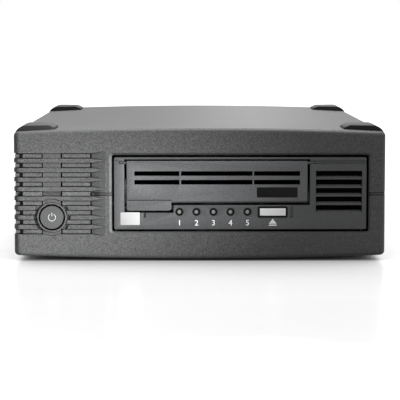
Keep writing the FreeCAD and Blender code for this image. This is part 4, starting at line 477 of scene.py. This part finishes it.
def finish(name):
    """The finished material of that name, made once."""
    if name in materials:
        return materials[name]
    scene = bpy.context.scene
    case, front, inside = scene.tape_drive_case, scene.tape_drive_front, scene.tape_drive_inside
    makers = {
        "case": lambda: moulded("Housing plastic", case.case_colour),
        # The tops of the feet get a painted sheen of light from above.
        "feet": lambda: painted_top_sheen(moulded("Foot rubber", case.feet_colour, roughness=0.6, speckle=0.3,
                                       specular=0.2),
                               [part * TOP_SHEEN_LIFT for part in case.feet_colour]),
        "grille": lambda: moulded("Grille plastic", case.grille_colour),
        "button": lambda: moulded("Button plastic", case.button_colour, speckle=0.3, depth=0.2),
        "mark": lambda: moulded("Printed mark", case.mark_colour, roughness=0.4, speckle=0.05,
                                depth=0.05),
        "bezel": lambda: moulded("Bezel plastic", front.bezel_colour, speckle=0.45),
        "door": lambda: moulded("Door plastic", front.door_colour, speckle=0.5),
        "eject": lambda: moulded("Eject plastic", front.eject_colour, roughness=0.4, speckle=0.06,
                                 depth=0.08),
        "plate": lambda: moulded("Blank plate", front.plate_colour, roughness=0.3, speckle=0.03,
                                 depth=0.05),
        "print": lambda: moulded("White print", front.print_colour, speckle=0.04, depth=0.05),
        "lens": lambda: moulded("Lamp lens", front.lens_colour, roughness=0.15, speckle=0.1,
                                depth=0.05, specular=0.6),
        "black": lambda: moulded("Black plastic", (0.004, 0.004, 0.0042), speckle=0.3, depth=0.2,
                                 specular=0.12),
        # Black for pieces that stand in for shade: the seam's shadow line and the screen behind the
        # vents.
        "shade": lambda: moulded("Black for painted shade", (0.004, 0.004, 0.004), roughness=0.9, speckle=0.3,
                                 specular=0.05, edge_highlight=0.0),
        "gloss": lambda: moulded("Black ring", (0.003, 0.003, 0.003), roughness=0.6, speckle=0.2,
                                 depth=0.0, specular=0.1, edge_highlight=0.0),
        "reel": lambda: moulded("Reel plastic", (0.05, 0.05, 0.055), roughness=0.25, speckle=0.08,
                                depth=0.05, specular=0.5),
        "roller": lambda: moulded("Roller plastic", (0.62, 0.62, 0.58), roughness=0.3, speckle=0.04,
                                  depth=0.05),
        "steel": lambda: metal("Plated steel", inside.steel_colour, roughness=0.42, amount=0.3),
        "aluminium": lambda: metal("Cast aluminium", (0.6, 0.6, 0.61), roughness=0.5, amount=0.2,
                                   stretch=(1, 1, 1)),
        "chrome": lambda: metal("Bright wire", (0.75, 0.75, 0.76), roughness=0.18, amount=0.08),
        "screws": lambda: metal("Zinc screw", (0.45, 0.45, 0.44), roughness=0.3, amount=0.2,
                                stretch=(1, 1, 1)),
        "panel": lambda: moulded("Panel paint", inside.panel_colour, roughness=0.45, speckle=0.25,
                                 depth=0.4),
        "board": lambda: board_material("Green board", inside.board_colour),
    }
    materials[name] = makers[name]()
    return materials[name]


def paint(node, name):
    """Give a CAD node a finished material."""
    slots = NODES[node].data.materials
    slots.clear()
    slots.append(finish(name))


# Mesh helpers.  Every new piece is shaped with bmesh operators, in metres and in its own place.

def body_of(node):
    return NODES[node]["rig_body"]


def keep(name, shape, material, body, replaced=(), smooth=30.0):
    """Turn a bmesh into a piece with a material, a body to ride on and the nodes it stands for."""
    bmesh.ops.recalc_face_normals(shape, faces=shape.faces)
    mesh = bpy.data.meshes.new(name)
    shape.to_mesh(mesh)
    shape.free()
    piece = bpy.data.objects.new(name, mesh)
    bpy.context.scene.collection.objects.link(piece)
    mesh.materials.append(finish(material))
    if smooth:
        mesh.shade_smooth()
        mesh.set_sharp_from_angle(angle=math.radians(smooth))
    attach(piece, body)
    if replaced:
        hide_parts(*replaced)


def merged_copy(node):
    """The mesh of a CAD node with its loose triangles joined and flat areas made whole."""
    shape = bmesh.new()
    shape.from_mesh(NODES[node].data)
    bmesh.ops.remove_doubles(shape, verts=shape.verts, dist=0.002 * MM)
    bmesh.ops.dissolve_limit(shape, angle_limit=math.radians(0.05), verts=shape.verts,
                             edges=shape.edges)
    return shape


def soften(shape, width, least=30.0):
    """Round the edges where two faces meet at more than an angle in degrees."""
    shape.normal_update()
    limit = math.radians(least)
    edges = [edge for edge in shape.edges
             if len(edge.link_faces) == 2 and edge.calc_face_angle(0.0) > limit]
    if edges:
        bmesh.ops.bevel(shape, geom=edges, offset=width * MM, offset_type="OFFSET",
                        segments=2, profile=0.5, affect="EDGES", material=-1,
                        clamp_overlap=True)
    return shape


def cuboid(shape, low, high):
    """Add a box between two corners given in millimetres."""
    low, high = Vector(low) * MM, Vector(high) * MM
    made = bmesh.ops.create_cube(shape, size=1.0)
    bmesh.ops.scale(shape, vec=high - low, verts=made["verts"])
    bmesh.ops.translate(shape, vec=(low + high) / 2, verts=made["verts"])


def turned(shape, axis, centre, profile, steps, angle=360.0):
    """Spin an outline of (radius, level) pairs in millimetres about a Y or Z axis."""
    side = AXES["X"]
    base = Vector(centre) * MM
    points = [shape.verts.new(base + side * radius * MM + AXES[axis] * level * MM)
              for radius, level in profile]
    edges = [shape.edges.new(pair) for pair in zip(points, points[1:] + points[:1])]
    bmesh.ops.spin(shape, geom=points + edges, cent=base, axis=AXES[axis],
                   angle=math.radians(angle), steps=steps, use_merge=angle >= 360.0,
                   use_duplicate=False)


def prism(shape, outline, start, end):
    """Add a plate with an outline of (across, up) points between two depths, in millimetres."""
    points = [shape.verts.new(Vector((across, start, up)) * MM) for across, up in outline]
    face = shape.faces.new(points)
    made = bmesh.ops.extrude_face_region(shape, geom=[face])
    moved = [item for item in made["geom"] if isinstance(item, bmesh.types.BMVert)]
    bmesh.ops.translate(shape, vec=AXES["Y"] * (end - start) * MM, verts=moved)


def frame_plate(shape, low, high, border, corner, start, end):
    """Add a frame with rounded corners between two (across, up) corners and two depths."""
    points = [shape.verts.new(Vector((across, start, up)) * MM)
              for across, up in ((low[0], low[1]), (high[0], low[1]), (high[0], high[1]),
                                 (low[0], high[1]))]
    shape.faces.new(points)
    bmesh.ops.bevel(shape, geom=points, offset=corner * MM, segments=4, profile=0.5,
                    affect="VERTICES", material=-1)
    bmesh.ops.inset_region(shape, faces=shape.faces[:], thickness=border * MM,
                           use_boundary=True, use_even_offset=True)
    inner = max(shape.faces, key=lambda face: len(face.verts))
    bmesh.ops.delete(shape, geom=[inner], context="FACES_ONLY")
    made = bmesh.ops.extrude_face_region(shape, geom=shape.faces[:])
    moved = [item for item in made["geom"] if isinstance(item, bmesh.types.BMVert)]
    bmesh.ops.translate(shape, vec=AXES["Y"] * (end - start) * MM, verts=moved)


def print_number(name, text, across, low, height, face, body):
    """A raised printed number that faces the front, low and height in millimetres."""
    data = bpy.data.curves.new(name, "FONT")
    data.body = text
    data.align_x = "CENTER"
    data.extrude = 0.02
    data.offset = 0.008
    source = bpy.data.objects.new(name, data)
    shape = bmesh.new()
    shape.from_mesh(bpy.data.meshes.new_from_object(source))
    bpy.data.objects.remove(source)
    bmesh.ops.remove_doubles(shape, verts=shape.verts, dist=0.00001)
    lowest = min(point.co.y for point in shape.verts)
    highest = max(point.co.y for point in shape.verts)
    scale = height * MM / (highest - lowest)
    bmesh.ops.scale(shape, vec=(scale, scale, scale), verts=shape.verts)
    bmesh.ops.rotate(shape, cent=(0, 0, 0), verts=shape.verts,
                     matrix=Matrix.Rotation(math.pi / 2, 3, "X"))
    bmesh.ops.translate(shape, verts=shape.verts,
                        vec=(across * MM, face * MM, low * MM - lowest * scale))
    keep(name, shape, "print", body, smooth=0)


def softened(node, material, width):
    """A CAD node's shape with rounded edges, in its place."""
    shape = soften(merged_copy(node), width)
    keep(f"{node}_finished", shape, material, body_of(node), (node,))


class TAPEDRIVE_OT_case(bpy.types.Operator):
    """Finish both shells of the case"""
    bl_idname = "tape_drive.case"
    bl_label = "Case"

    def execute(self, context):
        for node in ("lower_shell", "upper_shell"):
            paint(node, "case")
        paint("case_screws", "screws")
        low, high = (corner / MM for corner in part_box("lower_shell"))
        bezel_low, bezel_high = (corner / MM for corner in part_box("drive_bezel"))
        slots_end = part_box("vent_baffle")[1].x / MM + SEAM_FROM_SLOTS
        depth = SEAM_INSET + SEAM_THICKNESS
        near, far = low.y + SEAM_INSET, low.y + depth
        corner_x, corner_y = high.x - CASE_CORNER, low.y + CASE_CORNER
        inner, outer = CASE_CORNER - depth, CASE_CORNER - SEAM_INSET
        # A thin black sheet in each seam groove paints its shadow line.
        joint = bmesh.new()
        for level in SEAM_LEVELS:
            top = level + SEAM_GAP
            cuboid(joint, (slots_end, near, level), (bezel_low.x - SEAM_FROM_BEZEL[0], far, top))
            cuboid(joint, (bezel_high.x + SEAM_FROM_BEZEL[1], near, level), (corner_x, far, top))
            for side, front in ((low.x + SEAM_INSET, low.y + SLOTTED_CORNER),
                                (high.x - depth, corner_y)):
                cuboid(joint, (side, front, level),
                       (side + SEAM_THICKNESS, high.y - CASE_CORNER, top))
            turned(joint, "Z", (corner_x, corner_y, 0),
                   [(inner, level), (outer, level), (outer, top), (inner, top)], steps=32)
        keep("seam_shadow_line", joint, "shade", body_of("lower_shell"))
        return {"FINISHED"}


class TAPEDRIVE_OT_feet(bpy.types.Operator):
    """Make the eight rubber feet"""
    bl_idname = "tape_drive.feet"
    bl_label = "Feet"

    def execute(self, context):
        for node in FEET:
            softened(node, "feet", width=0.35)
        return {"FINISHED"}


class TAPEDRIVE_OT_grille(bpy.types.Operator):
    """Finish the bars that stand in the air slots"""
    bl_idname = "tape_drive.grille"
    bl_label = "Air grille"

    def execute(self, context):
        paint("vent_baffle", "grille")
        return {"FINISHED"}


class TAPEDRIVE_OT_power_button(bpy.types.Operator):
    """Make the power button with its mark"""
    bl_idname = "tape_drive.power_button"
    bl_label = "Power button"

    def execute(self, context):
        low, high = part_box("power_button")
        shape = soften(merged_copy("power_button"), CAP_ROUND, least=50.0)
        front = [point for point in shape.verts if point.co.y < low.y + 0.02 * MM]
        bmesh.ops.translate(shape, vec=(0, CAP_ROUND * MM, 0), verts=front)
        keep("power_button_cap", shape, "button", body_of("power_button"), ("power_button",))
        centre = (low + high) / 2 / MM
        near, far = (low.y / MM + depth for depth in POWER_MARK_DEPTHS)
        inner, outer = POWER_RING
        mark = bmesh.new()
        turned(mark, "Y", (centre.x, 0, centre.z),
               [(inner, near), (outer, near), (outer, far), (inner, far)],
               steps=40, angle=POWER_RING_SWEEP)
        ends = [edge for edge in mark.edges if edge.is_boundary]
        bmesh.ops.edgeloop_fill(mark, edges=ends)
        bmesh.ops.rotate(mark, cent=(centre.x * MM, 0, centre.z * MM), verts=mark.verts,
                         matrix=Matrix.Rotation(math.radians(POWER_RING_TURN), 3, "Y"))
        cuboid(mark, (centre.x - POWER_BAR_HALF, near, centre.z + POWER_BAR[0]),
               (centre.x + POWER_BAR_HALF, far, centre.z + POWER_BAR[1]))
        keep("power_mark", mark, "mark", body_of("power_button"))
        paint("power_switch", "black")
        paint("switch_board", "board")
        return {"FINISHED"}


class TAPEDRIVE_OT_bezel(bpy.types.Operator):
    """Make the front panel of the drive and its blank badge"""
    bl_idname = "tape_drive.bezel"
    bl_label = "Bezel"

    def execute(self, context):
        low, high = (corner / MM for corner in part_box("drive_bezel"))
        softened("drive_bezel", "bezel", width=0.15)
        softened("badge_plate", "plate", width=0.1)
        # A black screen behind the vents paints the shade inside them.
        screen = bmesh.new()
        cuboid(screen, (high.x - SCREEN_SIDES[0], low.y + SCREEN_DEPTHS[0], low.z + SCREEN_ENDS[0]),
               (high.x - SCREEN_SIDES[1], low.y + SCREEN_DEPTHS[1], high.z - SCREEN_ENDS[1]))
        soften(screen, width=0.1)
        keep("vent_shadow_screen", screen, "shade", body_of("drive_bezel"))
        return {"FINISHED"}


class TAPEDRIVE_OT_door(bpy.types.Operator):
    """Make the cartridge door with its blank plate"""
    bl_idname = "tape_drive.door"
    bl_label = "Cartridge door"

    def execute(self, context):
        softened("cartridge_door", "door", width=0.15)
        softened("door_plate", "black", width=0.08)
        return {"FINISHED"}


class TAPEDRIVE_OT_lamps(bpy.types.Operator):
    """Make the status lamps, their holder and board"""
    bl_idname = "tape_drive.lamps"
    bl_label = "Status lamps"

    def execute(self, context):
        paint("lamp_holder", "black")
        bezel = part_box("drive_bezel")[0] / MM
        low, high = (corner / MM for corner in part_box("status_lamps"))
        radius = (high.z - low.z) / 2
        first, last = low.x + radius, high.x - radius
        height = (low.z + high.z) / 2
        rings = bmesh.new()
        for index in range(LAMP_COUNT):
            across = first + (last - first) * index / (LAMP_COUNT - 1)
            print_number(f"lamp_number_{index + 1}", str(index + 1), across,
                         bezel.z + NUMBER_LEVEL,
                         context.scene.tape_drive_front.number_height / MM, bezel.y + NUMBER_DEPTH,
                         body_of("drive_bezel"))
            turned(rings, "Y", (across, 0, height),
                   [(reach, bezel.y + depth) for reach, depth in RING_PROFILE], steps=32)
        keep("lamp_rings", rings, "gloss", body_of("drive_bezel"))
        paint("status_lamps", "lens")
        paint("bezel_board", "board")
        return {"FINISHED"}


class TAPEDRIVE_OT_eject_button(bpy.types.Operator):
    """Make the eject button and its switch"""
    bl_idname = "tape_drive.eject_button"
    bl_label = "Eject button"

    def execute(self, context):
        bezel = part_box("drive_bezel")[0] / MM
        low, high = (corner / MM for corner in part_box("eject_button"))
        softened("eject_button", "eject", width=0.2)
        across = (low.x + high.x) / 2
        # A black frame in the gap round the button paints the shadow in that gap.
        surround = bmesh.new()
        frame_plate(surround, (low.x + SURROUND_INSET, low.z + SURROUND_INSET),
                    (high.x - SURROUND_INSET, high.z - SURROUND_INSET), SURROUND_BORDER,
                    SURROUND_CORNER, bezel.y + SURROUND_DEPTHS[0], bezel.y + SURROUND_DEPTHS[1])
        keep("eject_gap_shade", surround, "gloss", body_of("drive_bezel"))
        mark = bmesh.new()
        left, right = across - MARK_HALF, across + MARK_HALF
        near, far = (bezel.y + depth for depth in MARK_DEPTHS)
        foot, tip = (bezel.z + level for level in MARK_ARROW)
        prism(mark, ((left, foot), (right, foot), (across, tip)), near, far)
        foot, tip = (bezel.z + level for level in MARK_BAR)
        cuboid(mark, (left, near, foot), (right, far, tip))
        keep("eject_mark", mark, "print", body_of("drive_bezel"), smooth=0)
        paint("eject_switch", "black")
        return {"FINISHED"}


class TAPEDRIVE_OT_drive(bpy.types.Operator):
    """Finish the case of the drive, its brackets and its loader"""
    bl_idname = "tape_drive.drive"
    bl_label = "Drive body"

    def execute(self, context):
        for node in ("drive_base", "drive_cover", "bracket_left", "bracket_right", "loader_frame"):
            paint(node, "steel")
        paint("drive_screws", "screws")
        paint("loader_carriage", "aluminium")
        paint("cartridge_tray", "black")
        return {"FINISHED"}


class TAPEDRIVE_OT_tape_path(bpy.types.Operator):
    """Finish the deck with its motors, rollers, reels and head"""
    bl_idname = "tape_drive.tape_path"
    bl_label = "Tape path"

    def execute(self, context):
        paint("main_board", "board")
        paint("deck_plate", "aluminium")
        paint("reel_motors", "steel")
        paint("supply_spindle", "black")
        paint("take_up_reel", "reel")
        paint("head_actuator", "aluminium")
        paint("head_carriage", "black")
        paint("tape_head", "chrome")
        for node in ROLLERS:
            paint(node, "roller")
        return {"FINISHED"}


class TAPEDRIVE_OT_supply(bpy.types.Operator):
    """Finish the power supply"""
    bl_idname = "tape_drive.supply"
    bl_label = "Power supply"

    def execute(self, context):
        paint("supply_case", "steel")
        paint("supply_cover", "steel")
        paint("supply_board", "board")
        paint("supply_parts", "black")
        paint("heat_sink", "aluminium")
        return {"FINISHED"}


class TAPEDRIVE_OT_rear(bpy.types.Operator):
    """Finish the rear panel, the fan and the sockets"""
    bl_idname = "tape_drive.rear"
    bl_label = "Rear panel and fan"

    def execute(self, context):
        paint("rear_panel", "panel")
        paint("fan_guard", "chrome")
        paint("fan_screws", "screws")
        paint("fan_frame", "black")
        paint("fan_rotor", "black")
        paint("inlet_body", "black")
        paint("inlet_pins", "chrome")
        paint("data_sockets", "chrome")
        paint("interface_board", "board")
        return {"FINISHED"}


class TAPEDRIVE_OT_stage(bpy.types.Operator):
    """Set the floor, the background, the lamps and the camera"""
    bl_idname = "tape_drive.stage"
    bl_label = "Stage"

    def execute(self, context):
        scene = context.scene
        settings = scene.tape_drive_stage
        make_floor(settings)
        make_background(scene, settings)
        make_spot("Key lamp", settings.key_power, settings.key_angle, place=(1.1, -0.84, 0.3),
                  target=(-0.124, -0.16, 0.022))
        make_spot("Top lamp", settings.top_power, settings.top_angle, place=(0.1, 1.5, 0.55),
                  target=(0.0, 0.12, 0.08))
        make_lamp("Above lamp", settings.above_power, size=0.3, place=(0.06, 0.02, 0.9),
                  target=(0.06, 0.02, 0.0))
        make_camera(scene, settings)
        scene.view_settings.view_transform = "Standard"
        return {"FINISHED"}


def make_floor(settings):
    """A wide pale floor that looks white, with a glow that fades near the drive: a painted soft
    shadow beside the lamps' shadows.
    """
    shape = bmesh.new()
    bmesh.ops.create_grid(shape, x_segments=1, y_segments=1, size=4.0)
    mesh = bpy.data.meshes.new("Floor")
    shape.to_mesh(mesh)
    shape.free()
    floor = bpy.data.objects.new("Floor", mesh)
    bpy.context.scene.collection.objects.link(floor)
    material, make, shader = surface("Floor sheet", specular=0.5)
    place = make.add("ShaderNodeTexCoord")
    fibre = make.add("ShaderNodeTexNoise", Scale=60.0, Detail=2.0)
    make.join(place.outputs["Object"], fibre.inputs["Vector"])
    gloss = make.add("ShaderNodeMapRange")
    for label, value in (("From Min", 0.3), ("From Max", 0.7), ("To Min", 0.2), ("To Max", 0.23)):
        gloss.inputs[label].default_value = value
    make.join(fibre.outputs["Fac"], gloss.inputs["Value"])
    make.join(gloss.outputs[0], shader.inputs["Roughness"])
    shader.inputs["Base Color"].default_value = (*settings.floor_colour, 1)
    # The glow is dimmed by ambient occlusion near the drive: a painted soft shadow.
    near = make.add("ShaderNodeAmbientOcclusion", samples=16, Distance=0.15)
    level = make.add("ShaderNodeMath", operation="MULTIPLY")
    level.inputs[1].default_value = settings.floor_glow
    make.join(near.outputs["AO"], level.inputs[0])
    glow = make.add("ShaderNodeEmission")
    make.join(level.outputs[0], glow.inputs["Strength"])
    both = make.add("ShaderNodeAddShader")
    make.join(shader.outputs[0], both.inputs[0])
    make.join(glow.outputs[0], both.inputs[1])
    choose = make.add("ShaderNodeMixShader")
    make.join(seen_rays(make), choose.inputs["Fac"])
    make.join(shader.outputs[0], choose.inputs[1])
    make.join(both.outputs[0], choose.inputs[2])
    out = next(node for node in make.tree.nodes if node.type == "OUTPUT_MATERIAL")
    make.join(choose.outputs[0], out.inputs["Surface"])
    mesh.materials.append(material)


def seen_rays(make):
    """One for rays from the camera and for reflected and transmitted ones, otherwise zero."""
    path = make.add("ShaderNodeLightPath")
    total = path.outputs["Is Camera Ray"]
    for label in ("Is Glossy Ray", "Is Transmission Ray"):
        either = make.add("ShaderNodeMath", operation="MAXIMUM")
        make.join(total, either.inputs[0])
        make.join(path.outputs[label], either.inputs[1])
        total = either.outputs[0]
    return total


def make_background(scene, settings):
    """White behind the drive, and an even fill light that is weaker."""
    world = bpy.data.worlds.new("Studio")
    world.use_nodes = True
    scene.world = world
    make = Nodes(world.node_tree)
    make.tree.nodes.clear()
    white = make.add("ShaderNodeBackground", Strength=1.0)
    white.inputs["Color"].default_value = (1, 1, 1, 1)
    fill = make.add("ShaderNodeBackground", Strength=settings.fill_level)
    fill.inputs["Color"].default_value = (1, 1, 1, 1)
    choose = make.add("ShaderNodeMixShader")
    make.join(seen_rays(make), choose.inputs["Fac"])
    make.join(fill.outputs[0], choose.inputs[1])
    make.join(white.outputs[0], choose.inputs[2])
    out = make.add("ShaderNodeOutputWorld")
    make.join(choose.outputs[0], out.inputs["Surface"])


def make_lamp(name, power, size, place, target):
    """A square soft box that faces a point."""
    data = bpy.data.lights.new(name, "AREA")
    data.energy = power
    data.size = size
    lamp = bpy.data.objects.new(name, data)
    lamp.location = place
    lamp.rotation_euler = (Vector(target) - Vector(place)).to_track_quat("-Z", "Y").to_euler()
    bpy.context.scene.collection.objects.link(lamp)


def make_spot(name, power, angle, place, target):
    """A spot lamp with a soft edge that faces a point."""
    data = bpy.data.lights.new(name, "SPOT")
    data.energy = power
    data.spot_size = angle
    data.spot_blend = 1.0
    data.shadow_soft_size = 0.03
    lamp = bpy.data.objects.new(name, data)
    lamp.location = place
    lamp.rotation_euler = (Vector(target) - Vector(place)).to_track_quat("-Z", "Y").to_euler()
    bpy.context.scene.collection.objects.link(lamp)


def make_camera(scene, settings):
    """A long lens in front, a little left of the middle, looking slightly down."""
    data = bpy.data.cameras.new("Camera")
    data.lens = settings.focal_length
    data.sensor_width = 36.0
    camera = bpy.data.objects.new("Camera", data)
    front = CAD_BOX[0].y
    camera.location = (settings.camera_side, front - settings.camera_distance,
                       settings.camera_height)
    camera.rotation_euler = (math.pi / 2 - settings.camera_tilt, 0.0, -settings.camera_turn)
    scene.collection.objects.link(camera)
    scene.camera = camera


OPERATORS = (
    TAPEDRIVE_OT_stage, TAPEDRIVE_OT_case, TAPEDRIVE_OT_feet, TAPEDRIVE_OT_grille,
    TAPEDRIVE_OT_power_button, TAPEDRIVE_OT_bezel, TAPEDRIVE_OT_door, TAPEDRIVE_OT_lamps,
    TAPEDRIVE_OT_eject_button, TAPEDRIVE_OT_drive, TAPEDRIVE_OT_tape_path, TAPEDRIVE_OT_supply,
    TAPEDRIVE_OT_rear,
)
SETTINGS = {
    "tape_drive_case": TapeDriveCaseSettings,
    "tape_drive_front": TapeDriveFrontSettings,
    "tape_drive_inside": TapeDriveInsideSettings,
    "tape_drive_stage": TapeDriveStageSettings,
}


class TAPEDRIVE_PT_panel(bpy.types.Panel):
    """Lists the pieces and their settings"""
    bl_label = "Tape Drive"
    bl_idname = "TAPEDRIVE_PT_panel"
    bl_space_type = "VIEW_3D"
    bl_region_type = "UI"
    bl_category = "Tape Drive"

    def draw(self, context):
        for operator in OPERATORS:
            self.layout.operator(operator.bl_idname)
        for name, group in SETTINGS.items():
            box = self.layout.box()
            for field in group.__annotations__:
                box.prop(getattr(context.scene, name), field)


def register():
    for group in (*SETTINGS.values(), *OPERATORS, TAPEDRIVE_PT_panel):
        bpy.utils.register_class(group)
    for name, group in SETTINGS.items():
        setattr(bpy.types.Scene, name, PointerProperty(type=group))


def unregister():
    for name in SETTINGS:
        delattr(bpy.types.Scene, name)
    for group in reversed((*SETTINGS.values(), *OPERATORS, TAPEDRIVE_PT_panel)):
        bpy.utils.unregister_class(group)


def main():
    register()
    for operator in OPERATORS:
        getattr(bpy.ops.tape_drive, operator.bl_idname.split(".")[1])()


if __name__ == "__main__":
    main()
